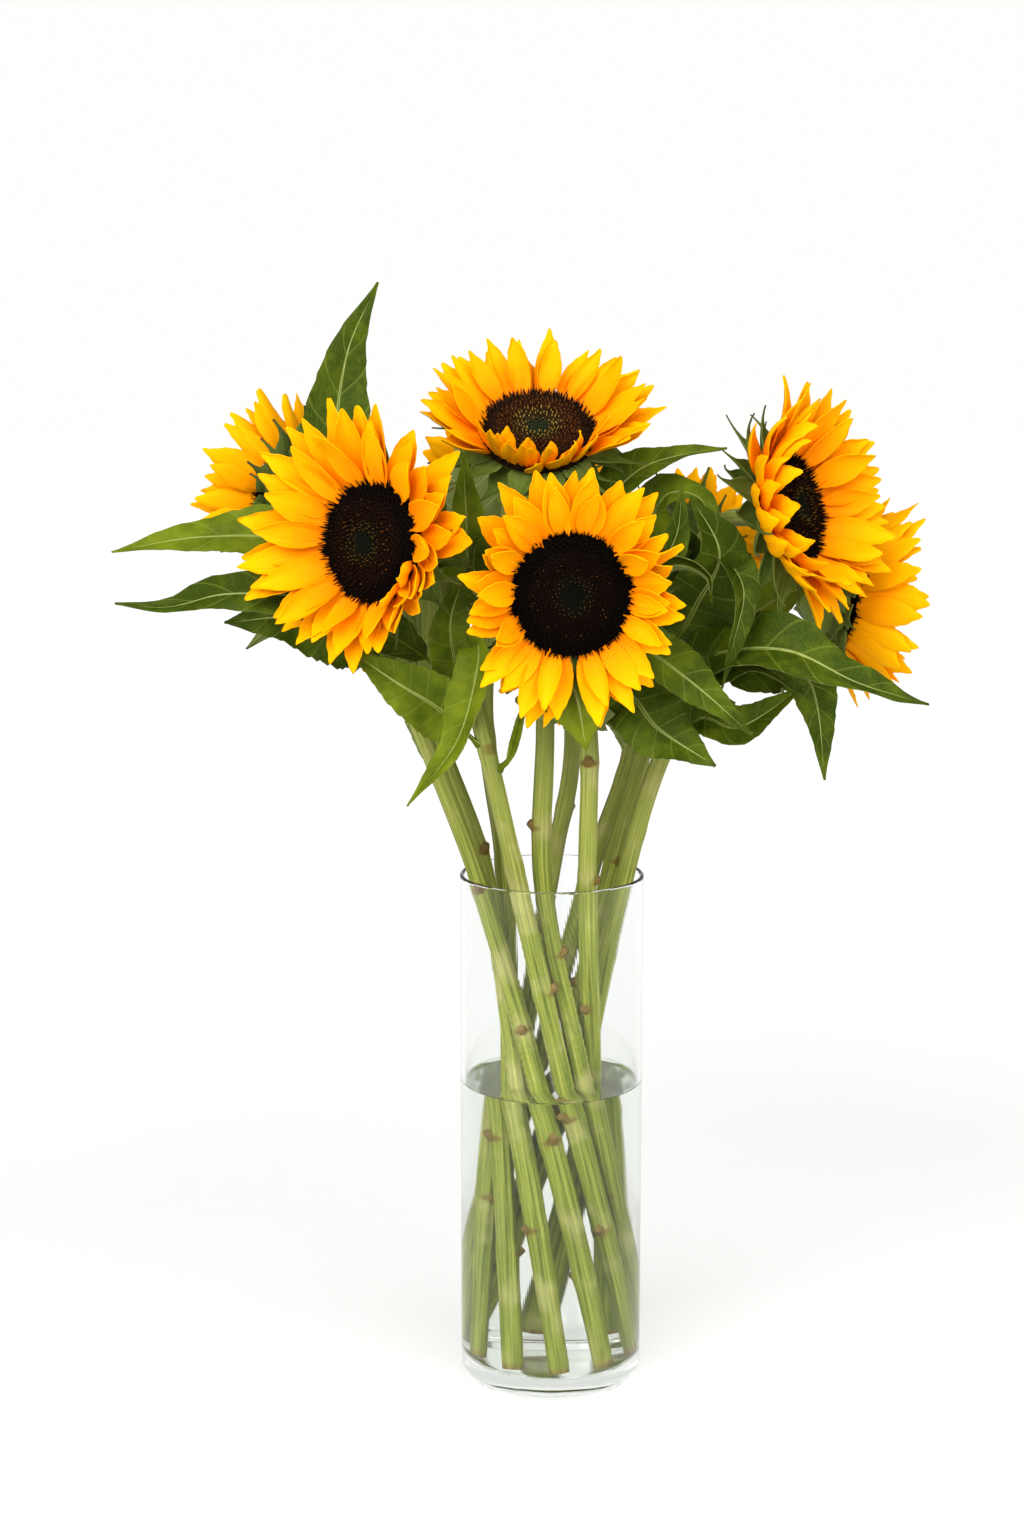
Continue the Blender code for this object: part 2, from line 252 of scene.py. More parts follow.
# A round tube along a line: circles set square to it and bridged.
def growTube(shape, line, radius, sides, ridge=None):
    uv = shape.loops.layers.uv["growth"]
    side = (line[1] - line[0]).orthogonal().normalized()
    rings = []
    for index, centre in enumerate(line):
        way = (line[min(index + 1, len(line) - 1)] - line[max(index - 1, 0)]).normalized()
        side = (side - way * side.dot(way)).normalized()
        across = way.cross(side)
        share = index / (len(line) - 1)
        turn = Matrix((side, across, way)).transposed().to_4x4()
        made = bmesh.ops.create_circle(shape, segments=sides, radius=radius(share),
                                       matrix=Matrix.Translation(centre) @ turn)["verts"]
        if ridge:
            for number, vertex in enumerate(made):
                vertex.co = centre + (vertex.co - centre) * ridge(share, number / sides)
        rings.append(made)
    paint(shape, [vertex for ring in rings for vertex in ring], tone=0.5)
    for index, (lower, upper) in enumerate(zip(rings, rings[1:])):
        edges = ringEdges(lower) + ringEdges(upper)
        faces = bmesh.ops.bridge_loops(shape, edges=edges)["faces"]
        order = {vertex: number for number, vertex in enumerate(lower)}
        order.update({vertex: number for number, vertex in enumerate(upper)})
        upperSet = set(upper)
        for face in faces:
            numbers = [order[loop.vert] for loop in face.loops]
            wraps = max(numbers) - min(numbers) > sides / 2
            for loop, number in zip(face.loops, numbers):
                place = number + sides if wraps and number < sides / 2 else number
                level = index + 1 if loop.vert in upperSet else index
                loop[uv].uv = (place / sides, level / (len(line) - 1))
    caps = []
    for ring in (rings[0], rings[-1]):
        caps += bmesh.ops.contextual_create(shape, geom=ringEdges(ring))["faces"]
    return rings, caps


def ringEdges(ring):
    members = set(ring)
    around = dict.fromkeys(edge for vertex in ring for edge in vertex.link_edges)
    return [edge for edge in around if all(vertex in members for vertex in edge.verts)]


# Faces outward, each loose part by itself: a sharply folded blade can mislead the operator, so
# a part whose volume comes out negative is turned.
def turnOutward(shape):
    bmesh.ops.recalc_face_normals(shape, faces=shape.faces)
    seen = set()
    for first in list(shape.faces):
        if first in seen:
            continue
        seen.add(first)
        part = [first]
        for face in part:
            fresh = [other for edge in face.edges for other in edge.link_faces if other not in seen]
            fresh = list(dict.fromkeys(fresh))
            seen.update(fresh)
            part += fresh
        centre = first.calc_center_median()
        if sum(face.calc_area() * face.normal.dot(face.calc_center_median() - centre) for face in part) < 0:
            bmesh.ops.reverse_faces(shape, faces=part)


# The different corners of a frame node, in a fixed order.
def corners(node):
    points = {tuple(round(value, 6) for value in vertex.co) for vertex in nodes[node].data.vertices}
    return [Vector(point) for point in sorted(points)]


def middle(points):
    return sum(points, Vector()) / len(points)


# Centre and axes of a flower: z out of its face, y as near to upward as it can be.
def headFrame(number):
    disc = corners(f"disc_{number}")
    behind = middle(corners(f"bracts_{number}"))
    cloud = np.array([point - middle(disc) for point in disc])
    axis = Vector(np.linalg.svd(cloud)[2][2])
    if axis.dot(middle(disc) - behind) < 0:
        axis = -axis
    lowest = min(point.dot(axis) for point in disc)
    back = [point for point in disc if point.dot(axis) < lowest + 1e-4]
    right = up.cross(axis).normalized()
    turn = Matrix((right, axis.cross(right), axis)).transposed().to_4x4()
    return Matrix.Translation(middle(back) + axis * headSizes["discBase"]) @ turn


# Centre line of a stem: each ring of corners is the nearest unused set beyond the last.
def stemLine(number, count):
    left = corners(f"stem_{number}")
    ring = sorted(left, key=lambda point: point.z)[:stemCorners]
    centres = []
    while ring:
        centres.append(middle(ring))
        left = [point for point in left if point not in ring]
        ring = sorted(left, key=lambda point: (point - centres[-1]).length)[:stemCorners]
    return smoothCurve(centres, count)


headSizes = {
    "discBase": 0.0013,    # height of the florets' foot above the back of the frame's disc
    "petalStart": 0.0275,  # distance from the middle at which petals begin
    "backDepth": 0.0235,   # how far back the green cup reaches
}
stemCorners = 8  # corners in each ring of a frame stem
flowerNumbers = range(1, 11)
headPlaces = {number: headFrame(number) for number in flowerNumbers}
stemLines = {number: stemLine(number, 200) for number in flowerNumbers}
print("frame read:", len(headPlaces), "heads and", len(stemLines), "stems")


vaseLook = {
    "radius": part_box("vase")[1].x,
    "height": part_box("vase")[1].z,
    "wall": 0.0025,
    "floor": 0.012,
    "heel": 0.0045,       # rounding of the bottom edge
    "sides": 288,         # flat shaded, so there are many
    "tint": (0.955, 0.970, 0.960),
    "bending": 1.5,
    "shadow": (0.93, 0.95, 0.94),
}
waterLook = {
    "level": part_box("water")[1].z,
    "overlap": 0.0002,    # how far the water reaches into the glass, so no air shows between
    "meniscus": 0.0022,
    "tint": (0.93, 0.95, 0.915),
    "bending": 1.333,
    "shadow": (0.93, 0.95, 0.93),
}
clearGloss = (0.35, 0.36, 0.35, 1.0)  # dims what glass and water mirror


# Points on part of a circle, in a profile of (distance from the axis, height).
def bow(centre, radius, start, end, steps):
    points = []
    for step in range(steps + 1):
        angle = math.radians(start + (end - start) * step / steps)
        points.append((centre[0] + radius * math.cos(angle), centre[1] + radius * math.sin(angle)))
    return points


# The solid of a profile turned about the upright axis.
def spun(profile, sides):
    shape = newShape()
    corner = [shape.verts.new((radius, 0, height)) for radius, height in profile]
    edges = [shape.edges.new(pair) for pair in zip(corner, corner[1:])]
    bmesh.ops.spin(shape, geom=corner + edges, axis=(0, 0, 1), cent=(0, 0, 0),
                   angle=math.tau, steps=sides, use_merge=True)
    bmesh.ops.remove_doubles(shape, verts=shape.verts, dist=1e-6)
    turnOutward(shape)
    return shape


# Clear to look through, and lit through without a dark shadow.
def clearFinish(name, look):
    finish = Finish(name)
    finish.set(Base_Color=look["tint"], Roughness=0.0, IOR=look["bending"])
    finish.surface.inputs["Transmission Weight"].default_value = 1.0
    finish.surface.inputs["Specular Tint"].default_value = clearGloss
    passing = finish.add("ShaderNodeBsdfTransparent", None, {0: look["shadow"]})
    shadow = finish.add("ShaderNodeLightPath").out("Is Shadow Ray")
    blend = finish.tree.nodes.new("ShaderNodeMixShader")
    finish.join(blend.inputs[0], shadow)
    finish.tree.links.new(finish.surface.outputs[0], blend.inputs[1])
    finish.tree.links.new(passing.socket, blend.inputs[2])
    finish.tree.links.new(blend.outputs[0], finish.output.inputs["Surface"])
    return finish


def makeVase():
    look = vaseLook
    outer, top = look["radius"], look["height"]
    inner, rim, heel = outer - look["wall"], look["wall"] / 2, look["heel"]
    profile = [(0, 0.0006), (outer - 2.2 * heel, 0.0006), (outer - 1.6 * heel, 0.0)]
    profile += bow((outer - heel, heel), heel, -90, 0, 8)
    profile += bow((outer - rim, top - rim), rim, 0, 180, 8)
    profile += bow((inner - heel * 0.7, look["floor"] + heel * 0.7), heel * 0.7, 0, -90, 6)
    profile += [(inner * 0.5, look["floor"] - 0.0006), (0, look["floor"] - 0.0009)]
    glass = clearFinish("clearGlass", look)
    return finishPiece("glassVase", spun(profile, look["sides"]), glass, ["vase"], 0)


def makeWater():
    look = waterLook
    reach = vaseLook["radius"] - vaseLook["wall"] + look["overlap"]
    bottom = vaseLook["floor"] - look["overlap"]
    rise = look["meniscus"]
    heel = vaseLook["heel"] * 0.7
    profile = [(0, bottom - 0.0009), (reach * 0.5, bottom - 0.0006)]
    profile += bow((reach - heel, bottom + heel), heel, -90, 0, 6)
    profile += [(reach, look["level"] + rise * 0.6)]
    for step in range(1, 7):
        share = step / 6
        profile.append((reach - rise * 1.6 * share, look["level"] + rise * 0.6 * (1 - share)**2.2))
    profile += [(0, look["level"])]
    water = clearFinish("stillWater", look)
    return finishPiece("vaseWater", spun(profile, vaseLook["sides"]), water, ["water"], 0)


makeVase()
makeWater()
print("vase and water made")


stemLook = {
    "sides": 40,
    "rings": 110,
    "ribs": 9,
    "ribDepth": 0.028,
    "swelling": 0.085,
    "firstNode": {1: 0.075, 2: 0.052, 3: 0.094, 4: 0.068, 5: 0.060, 6: 0.086, 7: 0.050, 8: 0.080,
                  9: 0.064, 10: 0.090},
    "nodeStep": 0.071,    # distance between leaf nodes along the stem
    "nodeReach": 0.0042,  # length of the swelling at a node
    "taper": 0.17,
    "stub": 0.0042,       # length of the stump left by a stripped leaf
    "stubWidth": 0.0031,
    "stubTop": 0.36,      # height above which the leaves were left on
    "greens": [(0.32, (0.066, 0.088, 0.006)), (0.47, (0.150, 0.178, 0.016)),
               (0.60, (0.250, 0.265, 0.038)), (0.76, (0.39, 0.38, 0.115))],
    "paleTop": (0.46, 0.50, 0.13),
    "dryPatch": (0.42, 0.37, 0.16),
    "scar": (0.135, 0.062, 0.014),
}


# Half the thickness of a stem, told by how far its lowest corner lies below its centre line.
def stemWidth(number):
    low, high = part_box(f"stem_{number}")
    line = stemLines[number]
    return min(0.0063, max(0.0055, line[0].z - low.z + 0.004))


def makeStemFinish():
    finish = Finish("ribbedStem")
    around, along = finish.map()
    turn = around * math.tau
    side, other = turn.sine(), (turn + math.pi / 2).sine()
    streak = finish.noise(finish.stretched(side * 2.6, other * 2.6, along * 5.0), 1.6, 4, 0.6)
    fine = finish.noise(finish.stretched(side * 9, other * 9, along * 16.0), 1.5, 3, 0.55)
    patch = finish.noise(finish.place(), 34, 3, 0.5)
    ribs = (turn * stemLook["ribs"]).sine() * 0.5 + 0.5
    green = finish.ramp(streak, *stemLook["greens"])
    green = finish.mix(along.fade(0.45, 0.75) * 0.30, green, stemLook["paleTop"])
    green = finish.mix(patch.fade(0.52, 0.68) * 0.45, green, stemLook["dryPatch"])
    green = finish.mix(ribs.fade(0.2, 0.0) * 0.30, green, (0.13, 0.19, 0.045))
    fleck = finish.noise(finish.stretched(side * 16, other * 16, along * 70), 1.5, 2, 0.5)
    green = finish.mix(fleck.fade(0.63, 0.72) * 0.5, green, (0.24, 0.17, 0.06))
    node = finish.mark("ring")
    green = finish.mix(node.fade(0.52, 0.90) * (0.45 + fine * 0.7), green, stemLook["scar"])
    cut = finish.mark("under")
    cutBrown = finish.mix(fine.fade(0.35, 0.65), (0.23, 0.16, 0.05), (0.09, 0.042, 0.012))
    green = finish.mix(cut, green, cutBrown)
    bump = finish.bump(fine * 0.6 + ribs * 0.5, 0.55, 0.0006)
    finish.surface.inputs["Specular IOR Level"].default_value = 0.14
    return finish.set(Base_Color=green, Roughness=fine * 0.25 + 0.38, Normal=bump)


def makeStem(number, finish):
    look = stemLook
    line = smoothCurve(stemLines[number][::8] + [stemLines[number][-1]], look["rings"])
    length = sum((end - start).length for start, end in zip(line, line[1:]))
    width = stemWidth(number)
    nodesAt = []
    place = look["firstNode"][number]
    while place < length * 0.93:
        nodesAt.append(place / length)
        place += look["nodeStep"] * (1 + 0.12 * math.sin(number * 2.3 + place * 50))
    chance = random.Random(40 + number)
    phase = chance.random() * math.tau

    def closeness(share):
        return max(math.exp(-((share - node) * length / look["nodeReach"])**2) for node in nodesAt)

    def radius(share):
        taper = 1 - look["taper"] * share
        flare = 0.10 * max(0.0, share - 0.95) / 0.05
        foot = -0.035 * math.exp(-share * length / 0.0015)
        lump = 0.020 * math.sin(share * 23 + phase) + 0.012 * math.sin(share * 61 + phase * 2)
        return width * (taper + flare + foot + lump + look["swelling"] * closeness(share))

    def ridge(share, turn):
        rib = 1 + look["ribDepth"] * math.sin(math.tau * turn * look["ribs"])
        return rib * (1 + 0.03 * math.sin(math.tau * turn * 2 + share * 9 + phase))

    shape = newShape()
    rings, caps = growTube(shape, line, radius, look["sides"], ridge)
    sides = {}
    for node in nodesAt:
        level = round(node * (len(rings) - 1))
        sides[node] = (rings[level][chance.randrange(look["sides"])].co - line[level]).normalized()
    for index, ring in enumerate(rings):
        share = index / (len(rings) - 1)
        side = sides[min(nodesAt, key=lambda node: abs(node - share))]
        for vertex in ring:
            facing = (vertex.co - line[index]).normalized().dot(side)
            paint(shape, [vertex], ring=closeness(share) * (0.60 + 0.40 * facing))
    for cap in caps[:1]:
        inner = bmesh.ops.inset_region(shape, faces=[cap], thickness=0.0007, depth=-0.0001)["faces"]
        hollow = bmesh.ops.inset_region(shape, faces=[cap], thickness=0.0022, depth=-0.0004)["faces"]
        paint(shape, list(cap.verts), under=1.0)
        paint(shape, [vertex for face in inner + hollow for vertex in face.verts], under=1.0)
    for node in nodesAt:
        if line[0].z + node * length < look["stubTop"]:
            addStub(shape, line, node, sides[node], radius(node), chance)
    turnOutward(shape)
    return finishPiece(f"stem{number}", shape, finish, [f"stem_{number}"], 50)


# The short brown stump that a stripped leaf leaves at its node.
def addStub(shape, line, node, side, width, chance):
    index = min(len(line) - 2, max(1, round(node * (len(line) - 1))))
    way = (line[index + 1] - line[index - 1]).normalized()
    out = (side * 0.8 + way * 0.6).normalized()
    start = line[index] + side * width * 0.60
    reach = stemLook["stub"] * chance.uniform(0.8, 1.3)
    steps = [start + out * reach * share for share in (0, 0.5, 0.9, 1.15)]
    rings, _ = growTube(shape, steps, lambda share: stemLook["stubWidth"] - 0.0012 * share, 10)
    for index, ring in enumerate(rings):
        last = index == len(rings) - 1
        paint(shape, ring, ring=0.80 + 0.2 * index / (len(rings) - 1), under=0.75 if last else 0.0)


stemFinish = makeStemFinish()
for number in flowerNumbers:
    makeStem(number, stemFinish)
print("stems made")


discLook = {
    "florets": 640,
    "spread": 0.0305,     # radius the florets reach
    "dome": 0.0052,
    "core": 0.22,         # share of the radius taken by the closed middle
    "ring": 0.70,         # share at which the outer florets begin: their own dark brown, made near black as painted shade at the rim
    "hairs": 380,
    "hairLength": 0.0036,
    "hairWidth": 0.00034,
    "dish": {3: 0.0012, 4: 0.0004},  # how far the middle sinks, by head
    "otherDish": 0.0008,
    "rings": 25,
    "sides": 40,
    # Florets of the middle, the band and the edge: radius, height, sides, waist, point.
    "buds": [(0.00062, 0.0016, 6, 0.85, 0.30), (0.00054, 0.0036, 6, 0.75, 0.50),
             (0.00052, 0.0042, 5, 0.70, 0.14)],
}


# One floret: a short cone that narrows again to its tip.
def budTemplate(radius, height, sides, waist, point):
    shape = newShape()
    shoulder = height * 0.62
    low = bmesh.ops.create_cone(shape, cap_ends=True, segments=sides, radius1=radius,
                                radius2=radius * waist, depth=shoulder,
                                matrix=Matrix.Translation((0, 0, shoulder / 2)))["verts"]
    top = max(shape.faces, key=lambda face: face.calc_center_median().z)
    tip = bmesh.ops.extrude_face_region(shape, geom=[top])["geom"]
    tipPoints = [item for item in tip if isinstance(item, bmesh.types.BMVert)]
    bmesh.ops.delete(shape, geom=[top], context="FACES")
    for vertex in tipPoints:
        vertex.co = up * height + (vertex.co - up * shoulder) * point
    paint(shape, low, under=0.35)
    paint(shape, tipPoints, under=1.0)
    paint(shape, [vertex for vertex in shape.verts if vertex.co.z < 1e-5], under=0.0)
    return storedMesh("bud", shape)


# One hair of the disc's edge, which leans a little towards its tip.
def hairTemplate(length, width):
    shape = newShape()
    bmesh.ops.create_cone(shape, cap_ends=True, segments=4, radius1=width, radius2=width * 0.75,
                          depth=length * 0.6, matrix=Matrix.Translation((0, 0, length * 0.3)))
    top = max(shape.faces, key=lambda face: face.calc_center_median().z)
    tip = [item for item in bmesh.ops.extrude_face_region(shape, geom=[top])["geom"]
           if isinstance(item, bmesh.types.BMVert)]
    bmesh.ops.delete(shape, geom=[top], context="FACES")
    for vertex in tip:
        vertex.co = Vector((length * 0.12, 0, length)) + (vertex.co - Vector((0, 0, length * 0.6))) * 0.18
    paint(shape, tip, under=1.0)
    return storedMesh("hair", shape)


# Adds a copy of a small template shape at a place. New corners come last in the list only while
# none has been removed from the shape.
def plant(shape, template, place, **values):
    before = len(shape.verts)
    shape.from_mesh(template)
    shape.verts.ensure_lookup_table()
    fresh = shape.verts[before:]
    for vertex in fresh:
        vertex.co = place @ vertex.co
    paint(shape, fresh, **values)


def discHeight(share, dish):
    return discLook["dome"] * (1 - share**3.2) - dish * math.exp(-(share / 0.30)**2) * 1.6


# gold: share of golden florets; light: overall brightness; spark: how bright a golden tip is.
def makeDiscFinish(name, gold, light, spark=0.26):
    finish = Finish(name)
    coreEnd, edgeStart = discLook["core"], discLook["ring"] + gold * 0.1
    ring, tip, tone = finish.mark("ring"), finish.mark("under"), finish.mark("tone")
    grain = finish.noise(finish.place(), 900, 2, 0.5)
    core = finish.mix(tip.fade(0.3, 1.0), (0.004, 0.005, 0.002), (0.016, 0.022, 0.007))
    halo = finish.mix(tip.fade(0.35, 1.0), (0.010, 0.006, 0.002), (0.17, 0.115, 0.020))
    band = finish.mix(tip.fade(0.40, 1.0) * tone.fade(0.95 - gold, 1.02 - gold * 0.6),
                      (0.010, 0.0035, 0.0012), (spark, spark * 0.37, spark * 0.05))
    band = finish.mix(tip.fade(0.5, 1.0) * (1 - tone).fade(0.30, 0.8), band, (0.050, 0.018, 0.004))
    # The outer florets: their own dark brown, made near black as painted shade at the disc's rim.
    edge = finish.mix(tip.fade(0.4, 1.0), (0.004, 0.002, 0.001), (0.026, 0.011, 0.006))
    core = finish.mix(ring.fade(coreEnd - 0.05, coreEnd + 0.01), core, halo)
    colour = finish.mix(ring.fade(coreEnd + 0.05, coreEnd + 0.16 + gold * 0.2), core, band)
    colour = finish.mix(ring.fade(edgeStart - 0.10, edgeStart + 0.06), colour, edge)
    colour = finish.mix(1.0, colour, (light, light, light), "MULTIPLY")
    finish.surface.inputs["Specular IOR Level"].default_value = 0.05
    return finish.set(Base_Color=colour, Roughness=0.85, Normal=finish.bump(grain, 0.4, 0.0004))


def makeDisc(number, finish, buds, hair):
    look = discLook
    dish = look["dish"].get(number, look["otherDish"])
    chance = random.Random(700 + number)
    reach = look["spread"]
    profile = [(0, discHeight(0, dish))]
    profile += [(reach * step / look["rings"], discHeight(step / look["rings"], dish))
                for step in range(1, look["rings"] + 1)]
    profile += [(reach * 1.01, -0.0016), (reach * 0.9, -0.0038), (0, -0.0040)]
    body = spun(profile, look["sides"])
    for vertex in body.verts:
        vertex[body.verts.layers.float["ring"]] = math.hypot(vertex.co.x, vertex.co.y) / reach
    shape = newShape()
    shape.from_mesh(storedMesh("discBody", body))
    golden = math.pi * (3 - math.sqrt(5))
    for index in range(look["florets"]):
        share = math.sqrt((index + 0.5) / look["florets"]) * 0.985
        angle = index * golden
        kind = 0 if share < look["core"] else 1 if share < look["ring"] else 2
        inward = 0.72 + 0.28 * min(1, share / look["core"]) if kind == 0 else 1.0
        size = chance.uniform(0.85, 1.15) * inward
        lean = 0.35 * share + chance.uniform(-0.12, 0.12) + (0.25 if kind == 2 else 0)
        centre = Vector((math.cos(angle) * share * reach, math.sin(angle) * share * reach,
                         discHeight(share, dish) - (0.0003 if kind == 0 else 0.0006)))
        turn = Matrix.Rotation(angle, 4, "Z") @ Matrix.Rotation(lean, 4, "Y") @ Matrix.Rotation(
            chance.uniform(-0.15, 0.15), 4, "X")
        stretch = Matrix.Diagonal((size, size, size * chance.uniform(0.8, 1.25), 1))
        plant(shape, buds[kind], Matrix.Translation(centre) @ turn @ stretch,
              tone=chance.random(), ring=share)
    for index in range(look["hairs"]):
        share = 0.90 + 0.12 * chance.random()
        angle = chance.random() * math.tau
        lean = chance.uniform(0.55, 1.35)
        centre = Vector((math.cos(angle) * share * reach, math.sin(angle) * share * reach,
                         discHeight(min(1, share), dish) - 0.0012))
        size = chance.uniform(0.7, 1.2)
        turn = Matrix.Rotation(angle + chance.uniform(-0.3, 0.3), 4, "Z") @ Matrix.Rotation(lean, 4, "Y")
        plant(shape, hair, Matrix.Translation(centre) @ turn @ Matrix.Diagonal((size, size, size, 1)),
              tone=chance.random(), ring=1.0)
    bmesh.ops.transform(shape, matrix=headPlaces[number], verts=shape.verts)
    return finishPiece(f"disc{number}", shape, finish, [f"disc_{number}"], 60)


buds = [budTemplate(*bud) for bud in discLook["buds"]]
hair = hairTemplate(discLook["hairLength"], discLook["hairWidth"])
discFinishes = {
    "dark": makeDiscFinish("darkFlorets", 0.10, 0.42),
    "specked": makeDiscFinish("speckedFlorets", 0.16, 0.75),
    "golden": makeDiscFinish("goldenFlorets", 0.62, 3.0, 0.075),
}
discKinds = {1: "specked", 3: "golden", 5: "specked"}
for number in flowerNumbers:
    makeDisc(number, discFinishes[discKinds.get(number, "dark")], buds, hair)
print("discs made")


# Degrees unless said. lift: rise out of the disc's plane; curl: bending forward along the petal;
# sway: bending sideways; twist: turning about its own length; length: share of the head's reach.
petalLook = {
    "steps": 18,
    "strips": 6,
    "thickness": 0.00045,
    "halfWidth": 0.0082,
    "stretch": 1.07,
    "creaseDepth": 0.0008,
    "whorls": [
        {"count": 23, "depth": -0.0036, "lift": -6, "curl": -2, "length": 1.04, "width": 1.05},
        {"count": 20, "depth": -0.0022, "lift": 3, "curl": 5, "length": 1.0, "width": 1.0},
        {"count": 14, "depth": -0.0010, "lift": 11, "curl": 9, "length": 0.90, "width": 0.92},
    ],
    "grooves": 6.5,       # fine grooves across a petal
    "yellows": [(0.02, (0.86, 0.195, 0.0)), (0.30, (0.95, 0.288, 0.0)),
                (0.58, (0.95, 0.378, 0.0)), (1.0, (0.95, 0.480, 0.0))],
    # Deeper orange in the grooves' troughs: painted shade in the folds.
    "grooveShadeOrange": (0.92, 0.27, 0.0),
    "brownTip": (0.55, 0.24, 0.01),
}
# Sectors of a head: middle angle (0 is its right, 90 its top), half width, and what changes there.
petalSectors = {
    1: [(165, 80, {"lift": 12, "length": 1.22, "curl": 2}), (75, 30, {"length": 0.98}),
        (6, 42, {"lift": -2, "curl": 12, "length": 1.0}),
        (-38, 24, {"lift": 16, "curl": 30, "length": 0.66, "twist": 24}),
        (-95, 34, {"lift": 6, "curl": 16, "length": 0.92, "sway": 14})],
    2: [(0, 180, {"lift": 4, "curl": 6, "length": 1.06, "width": 0.84}),
        (-90, 66, {"length": 0.50, "curl": 40})],
    3: [(90, 62, {"lift": -12, "length": 1.06, "width": 0.76, "curl": 4}),
        (-90, 58, {"lift": 36, "curl": 10, "length": 0.66, "width": 0.62, "twist": 20, "sway": 10}),
        (180, 32, {"lift": 4, "length": 1.0, "sway": -12}), (0, 32, {"lift": 2, "length": 1.08, "sway": 14})],
    4: [(90, 48, {"lift": 2, "length": 1.08, "width": 0.86}),
        (180, 42, {"lift": 22, "curl": 12, "length": 0.92, "width": 0.84}),
        (0, 42, {"lift": 24, "curl": 12, "length": 0.92, "width": 0.84, "twist": 18}),
        (-90, 46, {"lift": -4, "curl": -10, "length": 1.20, "width": 0.80})],
    5: [(180, 66, {"lift": 2, "curl": 70, "length": 0.92}), (90, 45, {"lift": 14, "length": 1.08}),
        (0, 56, {"lift": 26, "length": 1.06}), (-90, 42, {"lift": 16, "length": 1.04})],
    6: [(0, 180, {"lift": 8, "length": 1.04})],
}


# How far the frame's ring of petals reaches, and how many degrees it rises.
def petalSpan(number):
    local = [headPlaces[number].inverted() @ point for point in corners(f"petals_{number}")]
    distances = [math.hypot(point.x, point.y) for point in local]
    reach, inner = max(distances), min(distances)
    bend = min(distance for distance in distances if distance > inner + 0.004)
    tip = max(point.z for point in local)
    low = min(point.z for point in local)
    return reach, math.degrees(math.atan2(tip - low - 0.002, reach - bend))


# Share of the full width at a place along a petal.
def petalWidth(along):
    widen = min(1, along / 0.38)
    narrow = max(0, (along - 0.48) / 0.52)
    return max(0.03, (0.50 + 0.50 * widen * widen * (3 - 2 * widen)) * (1 - narrow**1.85))


# Where each point of a petal lies, from a habit that says how it grows.
def petalShape(habit):
    turn = math.radians(habit["angle"])
    outward = Vector((math.cos(turn), math.sin(turn), 0))
    sideways = Vector((-math.sin(turn), math.cos(turn), 0))
    steps = curveSteps
    place = outward * habit["start"] + up * habit["depth"]
    line, ways = [place.copy()], []
    for step in range(steps + 1):
        share = step / steps
        rise = math.radians(habit["lift"] + habit["curl"] * share**1.6)
        lean = math.radians(habit["sway"] * share**1.4)
        flat = outward * math.cos(lean) + sideways * math.sin(lean)
        way = flat * math.cos(rise) + up * math.sin(rise)
        ways.append((way, sideways * math.cos(lean) - outward * math.sin(lean)))
        if step < steps:
            place = place + way * (habit["length"] / steps)
            line.append(place.copy())

    def placed(along, across):
        step = min(steps, round(along * steps))
        way, side = ways[step]
        front = way.cross(side)
        twist = math.radians(habit["twist"] * along**1.5)
        level = side * math.cos(twist) + front * math.sin(twist)
        rise = front * math.cos(twist) - side * math.sin(twist)
        half = petalLook["halfWidth"] * habit["width"] * petalWidth(along)
        cup = habit["cup"] * half * across * across
        crease = petalLook["creaseDepth"] * (math.cos(across * math.pi * 2) - 1) * 0.5
        crease *= math.sin(math.pi * along)
        ripple = habit["ripple"] * math.sin(along * 9 + habit["phase"] + across * 1.4) * abs(across)
        spread = 1 - 0.25 * abs(habit["cup"]) * across * across
        return line[step] + level * half * across * spread + rise * (cup + crease + ripple)

    return placed


# Changes a habit by the sectors of the head that it grows in, fading at each sector's sides.
def followSectors(habit, sectors, keys, spread, chance):
    for centre, half, change in sectors:
        gap = abs((habit["angle"] - centre + 180) % 360 - 180)
        share = max(0.0, min(1.0, (half * 1.25 - gap) / (half * 0.5)))
        for key in keys:
            habit[key] += share * change.get(key, 0) * chance.uniform(*spread)
        for key in ("length", "width"):
            habit[key] *= 1 + share * (change.get(key, 1) - 1)


def petalHabits(number):
    look = petalLook
    reach, lift = petalSpan(number)
    chance = random.Random(9000 + number * 17)
    habits = []
    for row, whorl in enumerate(look["whorls"]):
        for index in range(whorl["count"]):
            angle = 360 * (index + row * 0.5) / whorl["count"] + chance.uniform(-4.5, 4.5)
            habit = {
                "angle": angle,
                "start": headSizes["petalStart"] + chance.uniform(-0.0012, 0.0006),
                "depth": whorl["depth"] + chance.uniform(-0.0006, 0.0006),
                "lift": lift + whorl["lift"] + chance.gauss(0, 5),
                "curl": whorl["curl"] + chance.gauss(0, 9),
                "sway": chance.gauss(0, 8),
                "twist": chance.gauss(0, 13),
                "width": whorl["width"] * chance.uniform(0.84, 1.12),
                "cup": chance.uniform(0.05, 0.50),
                "ripple": chance.uniform(0.0002, 0.0010),
                "phase": chance.random() * 6,
                "tone": chance.random(),
                "length": look["stretch"] * whorl["length"] * chance.uniform(0.86, 1.06),
            }
            followSectors(habit, petalSectors.get(number, []), ("lift", "curl", "sway", "twist"),
                          (0.75, 1.25), chance)
            habit["length"] = (reach - habit["start"]) / math.cos(math.radians(lift)) * habit["length"]
            habits.append(habit)
    return habits


